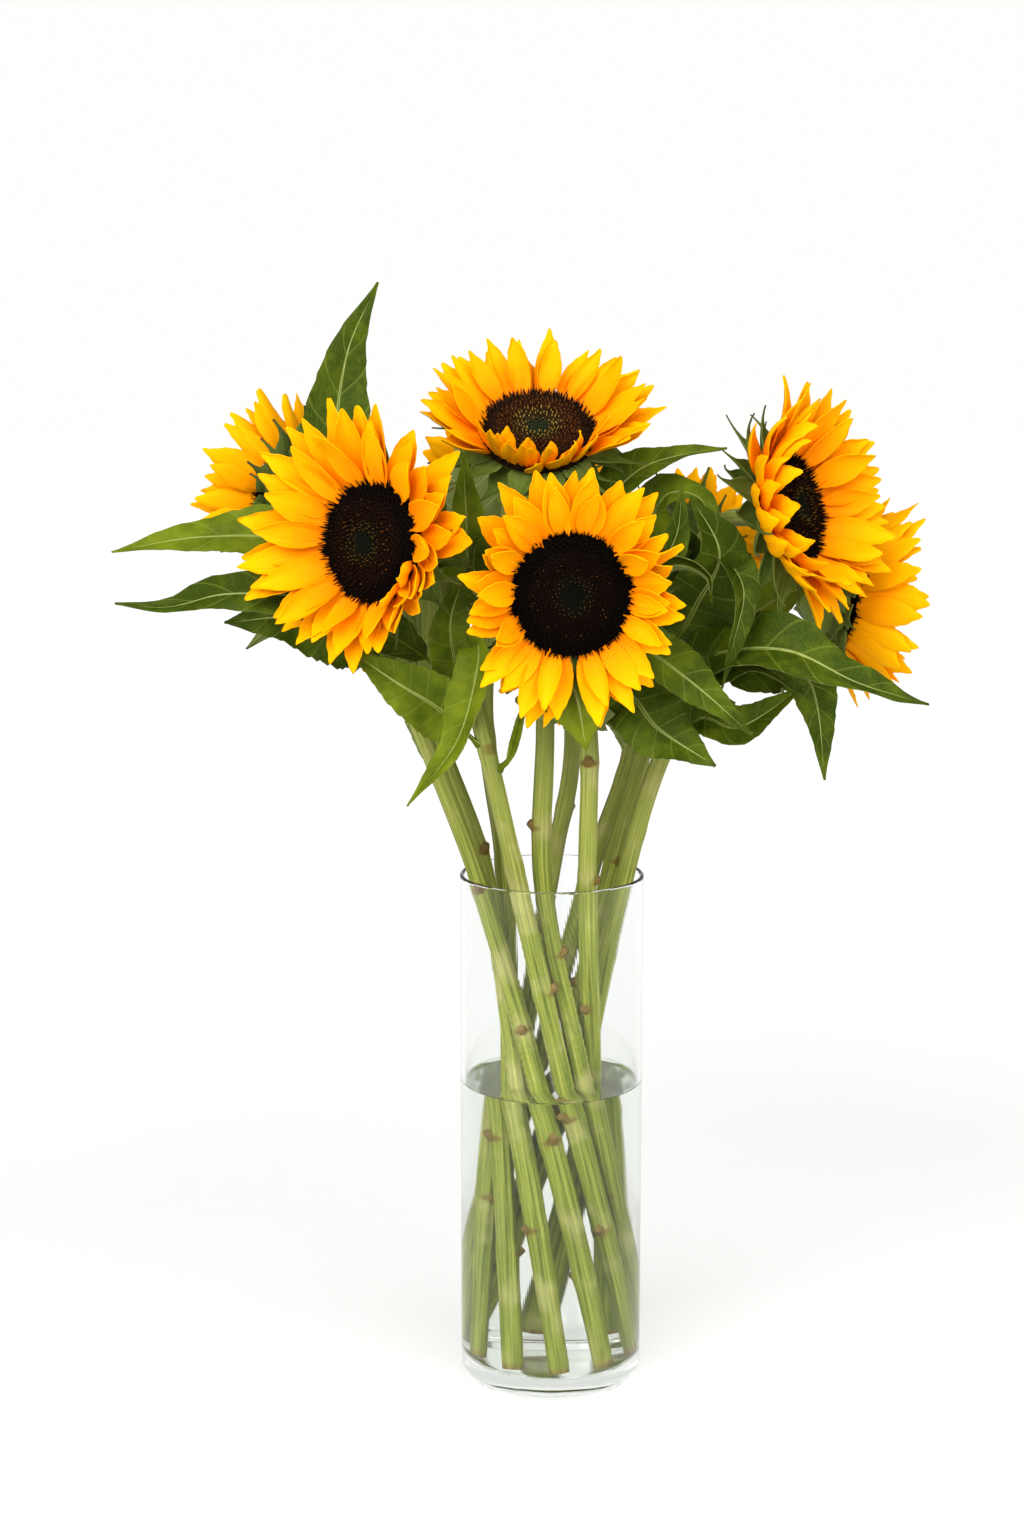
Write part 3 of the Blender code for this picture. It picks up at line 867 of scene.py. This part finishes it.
def makePetalFinish():
    finish = Finish("rayPetal")
    across, along = finish.map()
    tone, under = finish.mark("tone"), finish.mark("under")
    grooves = (across * (math.tau * petalLook["grooves"])).sine() * 0.5 + 0.5
    streak = finish.noise(finish.stretched(across * 9, along * 1.3, tone * 40), 1.4, 4, 0.6)
    fine = finish.noise(finish.stretched(across * 46, along * 2.4, tone * 17), 1.3, 3, 0.6)
    blend = along + (streak - 0.5) * 0.30 + (tone - 0.5) * 0.25
    yellow = finish.ramp(blend, *petalLook["yellows"])
    # Painted shade: the grooves' troughs turn deeper orange.
    yellow = finish.mix((1 - grooves).fade(0.72, 1.0) * 0.22, yellow, petalLook["grooveShadeOrange"])
    yellow = finish.mix(fine.fade(0.5, 0.75) * 0.30, yellow, (1.0, 0.52, 0.0))
    yellow = finish.mix(under * 0.30, yellow, (0.95, 0.40, 0.0))
    tips = along.fade(0.955, 1.0) * tone.fade(0.6, 0.9)
    yellow = finish.mix(tips * 0.35, yellow, petalLook["brownTip"])
    bump = finish.bump(grooves * 0.7 + fine * 0.2, 0.16, 0.0005)
    finish.surface.inputs["Specular IOR Level"].default_value = 0.03
    return finish.set(Base_Color=yellow, Roughness=fine * 0.2 + 0.50, Normal=bump)


# Single petals that stand out from the rest.
extraPetals = {
    4: [{"angle": 24, "start": 0.027, "depth": 0.0, "lift": 12, "curl": 14, "sway": 6, "twist": 70,
         "width": 0.62, "cup": 0.4, "ripple": 0.0012, "phase": 1.0, "tone": 0.4, "length": 0.034}],
}


def makePetals(number, finish):
    shape = newShape()
    for habit in petalHabits(number) + extraPetals.get(number, []):
        growBlade(shape, petalLook["steps"], petalLook["strips"], petalShape(habit),
                  petalLook["thickness"], habit["tone"])
    turnOutward(shape)
    bmesh.ops.transform(shape, matrix=headPlaces[number], verts=shape.verts)
    return finishPiece(f"petals{number}", shape, finish, [f"petals_{number}"], 75)


petalFinish = makePetalFinish()
for number in flowerNumbers:
    makePetals(number, petalFinish)
print("petals made")


# Pointed bracts in two rows, and the green cup behind each head.
bractLook = {
    "perRow": 13,
    "steps": 10,
    "strips": 4,
    "rows": [
        {"start": 0.0255, "depth": -0.0055, "lift": -8, "curl": 10, "length": 0.031, "width": 1.0},
        {"start": 0.0235, "depth": -0.0095, "lift": -16, "curl": 22, "length": 0.028, "width": 1.05},
    ],
    "halfWidth": 0.0068,
    "thickness": 0.0007,
    "greens": [(0.05, (0.19, 0.25, 0.045)), (0.45, (0.085, 0.130, 0.014)),
               (0.95, (0.050, 0.070, 0.008))],
    # The green cup: distance from its axis, height above its foot.
    "cup": [(0, -0.002), (0.0064, -0.002), (0.0074, 0.0005), (0.0105, 0.0040), (0.0165, 0.0082),
            (0.0225, 0.0125), (0.0268, 0.0170), (0.0278, 0.0198), (0.0255, 0.0206), (0, 0.0206)],
    "cupSides": 36,
}
# As petalSectors, for the bracts.
bractSectors = {
    1: [(150, 80, {"length": 1.25, "curl": 12})],
    2: [(0, 180, {"length": 1.1, "lift": 8})],
    5: [(180, 80, {"length": 1.25, "curl": 26, "lift": -2, "twist": 16})],
    6: [(0, 180, {"length": 0.66})],
}


# Share of the full width at a place along a bract.
def bractWidth(along):
    base = (0.80 + 0.55 * math.sin(math.pi * min(1, along * 1.5))) if along < 0.6667 else 0.80
    taper = max(0.0, 1 - max(0.0, along - 0.22) / 0.78)
    return max(0.035, base * (0.18 * taper + 0.82 * taper**2.1))


# A bract lies as a petal would, with its own narrower outline.
def bractShape(habit):
    petal = petalShape({**habit, "ripple": 0.0, "phase": 0.0})

    def placed(along, across):
        middlePoint, edgePoint = petal(along, 0.0), petal(along, across)
        full = petalLook["halfWidth"] * habit["width"] * petalWidth(along)
        wanted = bractLook["halfWidth"] * habit["width"] * bractWidth(along)
        return middlePoint + (edgePoint - middlePoint) * (wanted / full)

    return placed


def makeBractFinish():
    finish = Finish("bractGreen")
    across, along = finish.map()
    tone, under = finish.mark("tone"), finish.mark("under")
    vein = (across * (math.tau * 4)).sine() * 0.5 + 0.5
    mottle = finish.noise(finish.place(), 160, 3, 0.55)
    hairs = finish.noise(finish.stretched(across * 60, along * 14, tone * 9), 1.2, 2, 0.5)
    green = finish.ramp(along + (mottle - 0.5) * 0.5, *bractLook["greens"])
    green = finish.mix(under * 0.4, green, (0.16, 0.21, 0.050))
    green = finish.mix(vein.fade(0.75, 1.0) * 0.30, green, (0.22, 0.27, 0.060))
    green = finish.mix(hairs.fade(0.60, 0.75) * 0.25, green, (0.34, 0.38, 0.15))
    green = finish.mix(along.fade(0.90, 1.0) * 0.7, green, (0.11, 0.07, 0.022))
    bump = finish.bump(vein * 0.5 + hairs * 0.5, 0.5, 0.0004)
    finish.surface.inputs["Specular IOR Level"].default_value = 0.1
    return finish.set(Base_Color=green, Roughness=hairs * 0.2 + 0.46, Normal=bump)


def makeBracts(number, finish):
    look = bractLook
    back = -headSizes["backDepth"]
    chance = random.Random(3300 + number)
    shape = spun([(reach, back + height) for reach, height in look["cup"]], look["cupSides"])
    for vertex in shape.verts:
        wobble = 1 + 0.03 * math.sin(math.atan2(vertex.co.y, vertex.co.x) * 13)
        vertex.co.x *= wobble
        vertex.co.y *= wobble
    for level, row in enumerate(look["rows"]):
        for index in range(look["perRow"]):
            habit = {
                "angle": 360 * (index + level * 0.5) / look["perRow"] + chance.uniform(-8, 8),
                "start": row["start"],
                "depth": row["depth"] + chance.uniform(-0.001, 0.001),
                "lift": row["lift"] + chance.gauss(0, 7),
                "curl": row["curl"] + chance.gauss(0, 18),
                "sway": chance.gauss(0, 12),
                "twist": chance.gauss(0, 20),
                "width": row["width"] * chance.uniform(0.85, 1.12),
                "cup": chance.uniform(0.2, 0.5),
                "length": row["length"] * chance.uniform(0.85, 1.15),
            }
            followSectors(habit, bractSectors.get(number, []), ("lift", "curl", "twist"), (0.6, 1.3), chance)
            growBlade(shape, look["steps"], look["strips"], bractShape(habit), look["thickness"],
                      chance.random())
    turnOutward(shape)
    bmesh.ops.transform(shape, matrix=headPlaces[number], verts=shape.verts)
    return finishPiece(f"bracts{number}", shape, finish, [f"bracts_{number}"], 70)


bractFinish = makeBractFinish()
for number in flowerNumbers:
    makeBracts(number, bractFinish)
print("bracts made")


# Each leaf: the stem it grows from, height of its node, half its width, the way its upper side
# faces at the foot and at the tip, the points of its midrib, and what differs from leafLook.
leafLook = {
    "rows": 44,
    "columns": 12,
    "thickness": 0.00042,
    "petiole": 0.0017,
    "fold": 16,           # degrees each half rises from the midrib
    "roll": 0,            # degrees the edges roll in
    "wave": 0.0016,       # height of the wavy edge
    "waves": 2.6,
    "teeth": 12,
    "toothDepth": 0.085,
    "puff": 0.00055,      # blistering between the veins
    "veins": 8,
    "bare": 0.16,         # share of the length that is bare stalk
    "stalkSides": 8,
    "greens": [(0.25, (0.030, 0.052, 0.0018)), (0.5, (0.082, 0.118, 0.0040)),
               (0.75, (0.155, 0.198, 0.007))],
    "backs": [(0.125, 0.160, 0.036), (0.185, 0.220, 0.060)],
    "midrib": (0.38, 0.43, 0.13),
}
leafRoutes = {
    "leaf_upright": (2, 0.415, 0.024, (0.25, -1, 0.1), (0.1, -1, 0.1),
                     ((-0.106, 0.010, 0.450), (-0.116, 0.022, 0.505), (-0.110, 0.030, 0.560),
                      (-0.093, 0.030, 0.598)), {"fold": 9, "wave": 0.0022}),
    "leaf_left_long": (2, 0.406, 0.0205, (0, -0.9, 0.5), (0.1, -0.7, 0.8),
                       ((-0.108, -0.008, 0.440), (-0.135, -0.009, 0.462), (-0.185, -0.010, 0.465),
                        (-0.230, -0.022, 0.458)), {"fold": 14}),
    "leaf_left_folded": (1, 0.392, 0.0170, (0, -1, 0.3), (0, -0.8, 0.5),
                         ((-0.088, -0.034, 0.418), (-0.130, -0.032, 0.435), (-0.170, -0.030, 0.437),
                          (-0.201, -0.028, 0.430), (-0.228, -0.028, 0.432)), {"fold": 26, "wave": 0.0028}),
    "leaf_left_broad": (2, 0.384, 0.0255, (-0.1, -1, 0.2), (0, -0.9, 0.4),
                        ((-0.100, 0.004, 0.412), (-0.135, 0.008, 0.421), (-0.176, 0.010, 0.418)),
                        {"fold": 12, "wave": 0.0030}),
    "leaf_under_left": (1, 0.360, 0.018, (-0.2, -1, 0.1), (0, -1, 0.5),
                        ((-0.059, -0.052, 0.380), (-0.080, -0.056, 0.394), (-0.105, -0.056, 0.411)),
                        {"fold": 22}),
    "leaf_hanging": (1, 0.408, 0.0135, (-0.5, -1, 0.1), (-0.6, -0.9, 0),
                     ((-0.038, -0.064, 0.414), (-0.041, -0.075, 0.392), (-0.050, -0.081, 0.366),
                      (-0.074, -0.088, 0.336)), {"fold": 34, "wave": 0.0020}),
    "leaf_middle_left": (3, 0.420, 0.0175, (-0.2, -1, 0.2), (0.3, -1, 0.1),
                         ((-0.042, -0.034, 0.450), (-0.045, -0.046, 0.480), (-0.046, -0.062, 0.512)),
                         {"fold": 26, "wave": 0.0022}),
    "leaf_between": (3, 0.440, 0.015, (0.1, -1, 0.5), (0.3, -0.8, 0.8),
                     ((-0.012, -0.028, 0.464), (-0.013, -0.042, 0.482), (0.008, -0.052, 0.478)),
                     {"fold": 28}),
    "leaf_top_right": (3, 0.445, 0.0165, (0, -0.7, 0.7), (0, -0.6, 0.9),
                       ((0.022, 0.004, 0.476), (0.046, -0.002, 0.500), (0.069, -0.004, 0.508),
                        (0.091, -0.006, 0.511)), {"fold": 18}),
    "leaf_right_broad": (5, 0.395, 0.017, (0, -0.7, 0.7), (0.4, -0.8, 0.5),
                         ((0.050, 0.014, 0.458), (0.060, 0.006, 0.486), (0.078, -0.008, 0.484),
                          (0.086, -0.018, 0.455)), {"fold": 18, "wave": 0.0026}),
    "leaf_curled": (4, 0.405, 0.014, (0.1, -0.8, 0.6), (0.2, -1, 0.1),
                    ((0.038, -0.026, 0.432), (0.060, -0.036, 0.452), (0.077, -0.044, 0.448),
                     (0.081, -0.040, 0.434)), {"roll": 70, "fold": 10, "wave": 0.0024}),
    "leaf_narrow": (5, 0.435, 0.0115, (0.3, -1, 0.1), (0.7, -1, 0),
                    ((0.090, -0.016, 0.452), (0.098, -0.032, 0.439), (0.093, -0.037, 0.414),
                     (0.087, -0.037, 0.389)), {"fold": 30}),
    "leaf_big_right": (5, 0.385, 0.021, (0.2, -1, 0.5), (0.1, -0.7, 0.9),
                       ((0.088, -0.014, 0.404), (0.122, -0.038, 0.408), (0.157, -0.042, 0.392),
                        (0.196, -0.030, 0.379)), {"fold": 20, "wave": 0.0032}),
    "leaf_right_tip": (6, 0.385, 0.0165, (0.1, -1, 0.1), (0.3, -1, 0),
                       ((0.127, 0.006, 0.396), (0.140, 0.002, 0.382), (0.146, -0.006, 0.335)), {"fold": 14}),
    "leaf_low_right": (6, 0.350, 0.015, (0, -1, 0.4), (0, -0.8, 0.8),
                       ((0.080, -0.004, 0.368), (0.098, -0.012, 0.364), (0.133, -0.012, 0.386)),
                       {"fold": 22}),
    "leaf_mid_right": (4, 0.396, 0.0155, (0.2, -1, 0.4), (0.2, -1, 0.3),
                       ((0.040, -0.052, 0.412), (0.066, -0.062, 0.398), (0.101, -0.064, 0.368)),
                       {"fold": 18, "wave": 0.0026}),
    "leaf_drooping": (4, 0.374, 0.022, (0.1, -1, 0.2), (0.3, -1, 0.4),
                      ((0.038, -0.044, 0.386), (0.053, -0.050, 0.370), (0.083, -0.056, 0.351)),
                      {"fold": 14, "wave": 0.0030, "tone": 0.1}),
    "leaf_below_centre": (3, 0.385, 0.031, (0, -1, 0.1), (0, -1, 0),
                          ((0, -0.060, 0.405), (0.010, -0.072, 0.392), (0.016, -0.070, 0.362)),
                          {"fold": 14, "wave": 0.0034, "bare": 0.22}),
}
# Leaves beyond the frame's own, which only fill the bunch out. A tone from 0, dark, to 1 is set for some
# leaves and drawn by chance for the rest; the low tones set on the leaves in the middle of the bunch are
# painted shade.
extraLeaves = {
    "innerCurl": (3, 0.405, 0.013, (-0.3, -1, 0.3), (0.5, -1, 0.4),
                  ((-0.030, -0.040, 0.432), (-0.044, -0.058, 0.448), (-0.040, -0.068, 0.470)), {"roll": 50}),
    # Its tone of 0 is painted shade in the middle of the bunch.
    "innerRight": (5, 0.415, 0.015, (0.2, -1, 0.2), (0.4, -1, 0.1),
                   ((0.072, 0.004, 0.440), (0.066, -0.014, 0.462), (0.062, -0.024, 0.440)),
                   {"fold": 24, "tone": 0.0}),
    "innerShade": (7, 0.400, 0.016, (0.1, -1, 0.3), (0.2, -1, 0.2),
                   ((0.062, 0.050, 0.430), (0.078, 0.030, 0.452), (0.094, 0.020, 0.430)), {"fold": 14}),
    "rightBlade": (5, 0.372, 0.013, (0.1, -1, 0.6), (0, -0.7, 0.9),
                   ((0.082, -0.010, 0.390), (0.104, -0.020, 0.400), (0.134, -0.024, 0.382)), {"fold": 20}),
    "backUpright": (9, 0.420, 0.020, (0, 1, 0.2), (0.2, 1, 0),
                    ((-0.036, 0.082, 0.452), (-0.046, 0.096, 0.496), (-0.036, 0.098, 0.540)),
                    {"wave": 0.0026}),
    "backLeft": (8, 0.392, 0.020, (-0.3, 1, 0.3), (-0.2, 1, 0.5),
                 ((-0.100, 0.066, 0.412), (-0.138, 0.076, 0.420), (-0.172, 0.074, 0.396)), {"fold": 20}),
    "backHanging": (8, 0.375, 0.018, (-0.1, 1, 0.2), (0, 1, 0.1),
                    ((-0.072, 0.078, 0.378), (-0.072, 0.096, 0.352), (-0.064, 0.098, 0.312)), {"fold": 24}),
    "backMiddle": (10, 0.352, 0.021, (0.1, 1, 0.3), (0, 1, 0.1),
                   ((0.034, 0.088, 0.366), (0.046, 0.108, 0.352), (0.050, 0.112, 0.318)), {"wave": 0.0030}),
    "backRight": (7, 0.388, 0.020, (0.3, 1, 0.3), (0.4, 1, 0.4),
                  ((0.088, 0.076, 0.398), (0.122, 0.092, 0.402), (0.156, 0.088, 0.376)), {"fold": 18}),
    "backInner": (9, 0.395, 0.017, (-0.2, 1, 0.4), (0, 1, 0.3),
                  ((-0.010, 0.084, 0.410), (0.010, 0.104, 0.424), (0.040, 0.110, 0.440)), {"fold": 26}),
    # Its tone of 0 is painted shade in the middle of the bunch.
    "coverRight": (5, 0.402, 0.024, (0, -1, 0.2), (0.3, -1, 0.1),
                   ((0.076, -0.008, 0.430), (0.086, -0.026, 0.458), (0.070, -0.032, 0.488)),
                   {"fold": 16, "wave": 0.0034, "tone": 0.0}),
    # Its low tone is painted shade in the middle of the bunch.
    "coverMiddle": (4, 0.395, 0.016, (-0.2, -1, 0.2), (0.1, -1, 0.2),
                    ((0.040, -0.024, 0.432), (0.062, -0.030, 0.464), (0.066, -0.032, 0.494)),
                    {"fold": 26, "tone": 0.15}),
    "bareStalk": (1, 0.346, 0.0036, (0, -1, 0.2), (0, -1, 0.2),
                  ((-0.0235, -0.043, 0.352), (-0.0200, -0.045, 0.363), (-0.0160, -0.046, 0.378),
                   (-0.0090, -0.050, 0.392)), {"fold": 40, "petiole": 0.0024}),
    "neckShade": (6, 0.388, 0.020, (0, -1, 0.2), (0, -1, 0.2),
                  ((0.094, 0.024, 0.406), (0.118, 0.018, 0.428), (0.142, 0.014, 0.440)), {"fold": 20}),
    "coverLeft": (1, 0.380, 0.014, (0, -1, 0.2), (0.2, -1, 0.1),
                  ((-0.050, -0.046, 0.400), (-0.053, -0.052, 0.425), (-0.045, -0.056, 0.452)), {"fold": 20}),
}


# Share of the full width at a place along a leaf.
def leafWidth(along):
    if not 0 < along < 1:
        return 0.02
    return max(0.02, math.sin(math.pi * along**0.62) ** 0.85 * (1 - along**3 * 0.35))


# The notches of a leaf's edge, shallower at both ends.
def toothed(along, look):
    step = (along * look["teeth"]) % 1
    return 1 - look["toothDepth"] * step * math.sin(math.pi * along) ** 0.4


# Where each point of a leaf lies, about the line of its midrib.
def leafShape(line, faces, half, look, phase):
    last = len(line) - 1

    def placed(along, across):
        share = look["bare"] * 0.75 + (1 - look["bare"] * 0.75) * along
        index = min(last, max(0, round(share * last)))
        way = (line[min(index + 1, last)] - line[max(index - 1, 0)]).normalized()
        face = faces[0].lerp(faces[1], share)
        side = way.cross(face).normalized()
        out = side.cross(way)
        width = half * leafWidth(along)
        reach = width * (toothed(along, look) if abs(across) > 0.99 else 1.0)
        roll = math.radians(look["roll"]) * (0.4 + 0.6 * along)
        fold = math.radians(look["fold"])
        bend = fold + roll * abs(across)
        flat = math.cos(bend)
        rise = math.sin(bend)
        wave = look["wave"] * math.sin(math.tau * look["waves"] * along + phase + (1.3 if across > 0 else 0))
        wave *= abs(across) ** 1.7 * min(1, width / 0.010)
        vein = (along * look["veins"] - abs(across) * 0.85) % 1
        puff = look["puff"] * math.sin(math.pi * vein) * math.sin(math.pi * min(1, abs(across) * 1.05))
        return line[index] + side * reach * across * flat + out * (reach * abs(across) * rise + wave + puff)

    return placed


def makeLeafFinish():
    finish = Finish("leafBlade")
    across, along = finish.map()
    tone, under = finish.mark("tone"), finish.mark("under")
    off = abs(across * 2 - 1)
    veinPlace = (along * leafLook["veins"] - off * 0.85).fraction()
    sideVein = abs(veinPlace - 0.5) * 2
    lines = sideVein.fade(0.86, 0.99)
    net = finish.add("ShaderNodeTexVoronoi", {"feature": "DISTANCE_TO_EDGE"},
                     {"Vector": finish.stretched(across * 30, along * 60, tone * 9), "Scale": 1.0})
    netLines = net.fade(0.10, 0.0)
    rib = (off * (along * 0.6 + 0.7)).fade(0.065, 0.020)
    mottle = finish.noise(finish.place(), 60, 4, 0.6)
    fine = finish.noise(finish.place(), 420, 3, 0.55)
    green = finish.ramp(mottle + (tone - 0.5) * 0.5, *leafLook["greens"])
    green = finish.mix(netLines * 0.20, green, (0.17, 0.22, 0.02))
    green = finish.mix(lines * 0.26, green, (0.23, 0.28, 0.04))
    back = finish.mix(mottle, *leafLook["backs"])
    back = finish.mix(lines * 0.5 + netLines * 0.2, back, (0.30, 0.34, 0.13))
    green = finish.mix(under, green, back)
    green = finish.mix(rib * 0.75, green, leafLook["midrib"])
    green = finish.mix(off.fade(0.93, 1.0) * fine.fade(0.5, 0.75) * 0.5, green, (0.16, 0.12, 0.03))
    height = finish.mix(lines, finish.mix(fine, (0.5, 0.5, 0.5), (0.62, 0.62, 0.62)), (0.1, 0.1, 0.1))
    bump = finish.bump(height, 0.6, 0.0006)
    finish.surface.inputs["Specular IOR Level"].default_value = 0.06
    return finish.set(Base_Color=green, Roughness=fine * 0.22 + 0.40, Normal=bump)


def makeLeaf(name, route, finish, replaced):
    number, height, half, footFace, tipFace, points, changes = route
    look = {**leafLook, **changes}
    chance = random.Random(sum(ord(letter) for letter in name))
    stem = stemLines[number]
    place = min(range(1, len(stem) - 1), key=lambda index: abs(stem[index].z - height))
    base = stem[place]
    way = (stem[place + 1] - stem[place - 1]).normalized()
    outward = Vector(points[0]) - base
    outward = (outward - way * outward.dot(way)).normalized()
    start = base + outward * stemWidth(number) * 0.75
    line = smoothCurve([start] + [Vector(point) for point in points], 161)
    shape = newShape()
    # The tone is the leaf's set one, low as painted shade in the middle of the bunch, or one drawn by chance.
    growBlade(shape, look["rows"], look["columns"],
              leafShape(line, (Vector(footFace), Vector(tipFace)), half, look, chance.random() * 6),
              look["thickness"], look.get("tone", chance.random()), True)
    blunt = look["petiole"] * (0.8 + 0.2 * half / 0.02)

    def radius(share):
        return blunt * (1.5 - 0.5 * min(1, share / 0.05)) * (1 - min(1, share) ** 0.55 * 0.86)

    rings, _ = growTube(shape, line[::8], radius, look["stalkSides"])
    paint(shape, [vertex for ring in rings for vertex in ring], ring=1.0)
    turnOutward(shape)
    return finishPiece(name, shape, finish, replaced, 70)


leafFinish = makeLeafFinish()
for name, route in leafRoutes.items():
    makeLeaf(name.replace("leaf_", "leaf"), route, leafFinish, [name])
for name, route in extraLeaves.items():
    makeLeaf("leaf" + name[0].upper() + name[1:], route, leafFinish, None)
print("leaves made")


studio = {
    "floorSize": 40.0,
    "paper": (0.53, 0.527, 0.523),
    "glow": 0.43,         # the lit paper's own brightness, which keeps shadows faint
    "backdrop": 1.0,      # brightness of the white seen behind and through the glass
    "air": 0.38,          # brightness of the all-round light
    "white": (1.0, 0.995, 0.985, 1.0),
    "bounces": {"max_bounces": 32, "glossy_bounces": 16, "transmission_bounces": 28},
    "lamps": [
        {"place": (-1.4, -2.4, 1.55), "angle": 50, "strength": 2.9},
        {"place": (1.6, -2.0, 1.60), "angle": 60, "strength": 1.95},
    ],
}
cameraView = {
    "side": -0.0216,
    "distance": 1.2268,
    "height": 0.5499,
    "tilt": 9.67,         # degrees below level
    "lens": 54.2,
    "sensor": 36,
}


def makeStage():
    shape = bmesh.new()
    bmesh.ops.create_grid(shape, x_segments=1, y_segments=1, size=studio["floorSize"] / 2)
    mesh = storedMesh("floor", shape)
    floor = bpy.data.objects.new("floor", mesh)
    scene.collection.objects.link(floor)
    paper = Finish("palePaper")
    grain = paper.noise(paper.place(), 40, 2, 0.5)
    shade = paper.mix(grain, studio["paper"], tuple(value * 1.01 for value in studio["paper"]))
    paper.set(Base_Color=shade, Roughness=0.9, Emission_Color=shade)
    paper.surface.inputs["Emission Strength"].default_value = studio["glow"] / studio["paper"][0]
    mesh.materials.append(paper.material)


def lightScene():
    world = bpy.data.worlds.new("studioAir")
    scene.world = world
    world.use_nodes = True
    tree = world.node_tree
    air = tree.nodes["Background"]
    air.inputs["Color"].default_value = studio["white"]
    air.inputs["Strength"].default_value = studio["air"]
    white = tree.nodes.new("ShaderNodeBackground")
    white.inputs["Color"].default_value = studio["white"]
    white.inputs["Strength"].default_value = studio["backdrop"]
    path = tree.nodes.new("ShaderNodeLightPath")
    either = tree.nodes.new("ShaderNodeMath")
    either.operation = "MAXIMUM"
    blend = tree.nodes.new("ShaderNodeMixShader")
    tree.links.new(path.outputs["Is Camera Ray"], either.inputs[0])
    tree.links.new(path.outputs["Is Transmission Ray"], either.inputs[1])
    tree.links.new(either.outputs[0], blend.inputs[0])
    tree.links.new(air.outputs[0], blend.inputs[1])
    tree.links.new(white.outputs[0], blend.inputs[2])
    tree.links.new(blend.outputs[0], tree.nodes["World Output"].inputs["Surface"])
    for index, lamp in enumerate(studio["lamps"]):
        light = bpy.data.lights.new(f"softLamp{index + 1}", "SUN")
        light.angle = math.radians(lamp["angle"])
        light.energy = lamp["strength"]
        item = bpy.data.objects.new(light.name, light)
        item.location = lamp["place"]
        item.rotation_euler = (-Vector(lamp["place"])).to_track_quat("-Z", "Y").to_euler()
        scene.collection.objects.link(item)
    scene.view_settings.view_transform = "Standard"
    scene.view_settings.look = "None"
    for name, count in studio["bounces"].items():
        setattr(scene.cycles, name, count)


def placeCamera():
    lens = bpy.data.cameras.new("camera")
    lens.lens = cameraView["lens"]
    lens.sensor_width = cameraView["sensor"]
    item = bpy.data.objects.new("camera", lens)
    item.location = (cameraView["side"], -cameraView["distance"], cameraView["height"])
    item.rotation_euler = (math.radians(90 - cameraView["tilt"]), 0, 0)
    scene.collection.objects.link(item)
    scene.camera = item


makeStage()
lightScene()
placeCamera()
print("stage set")
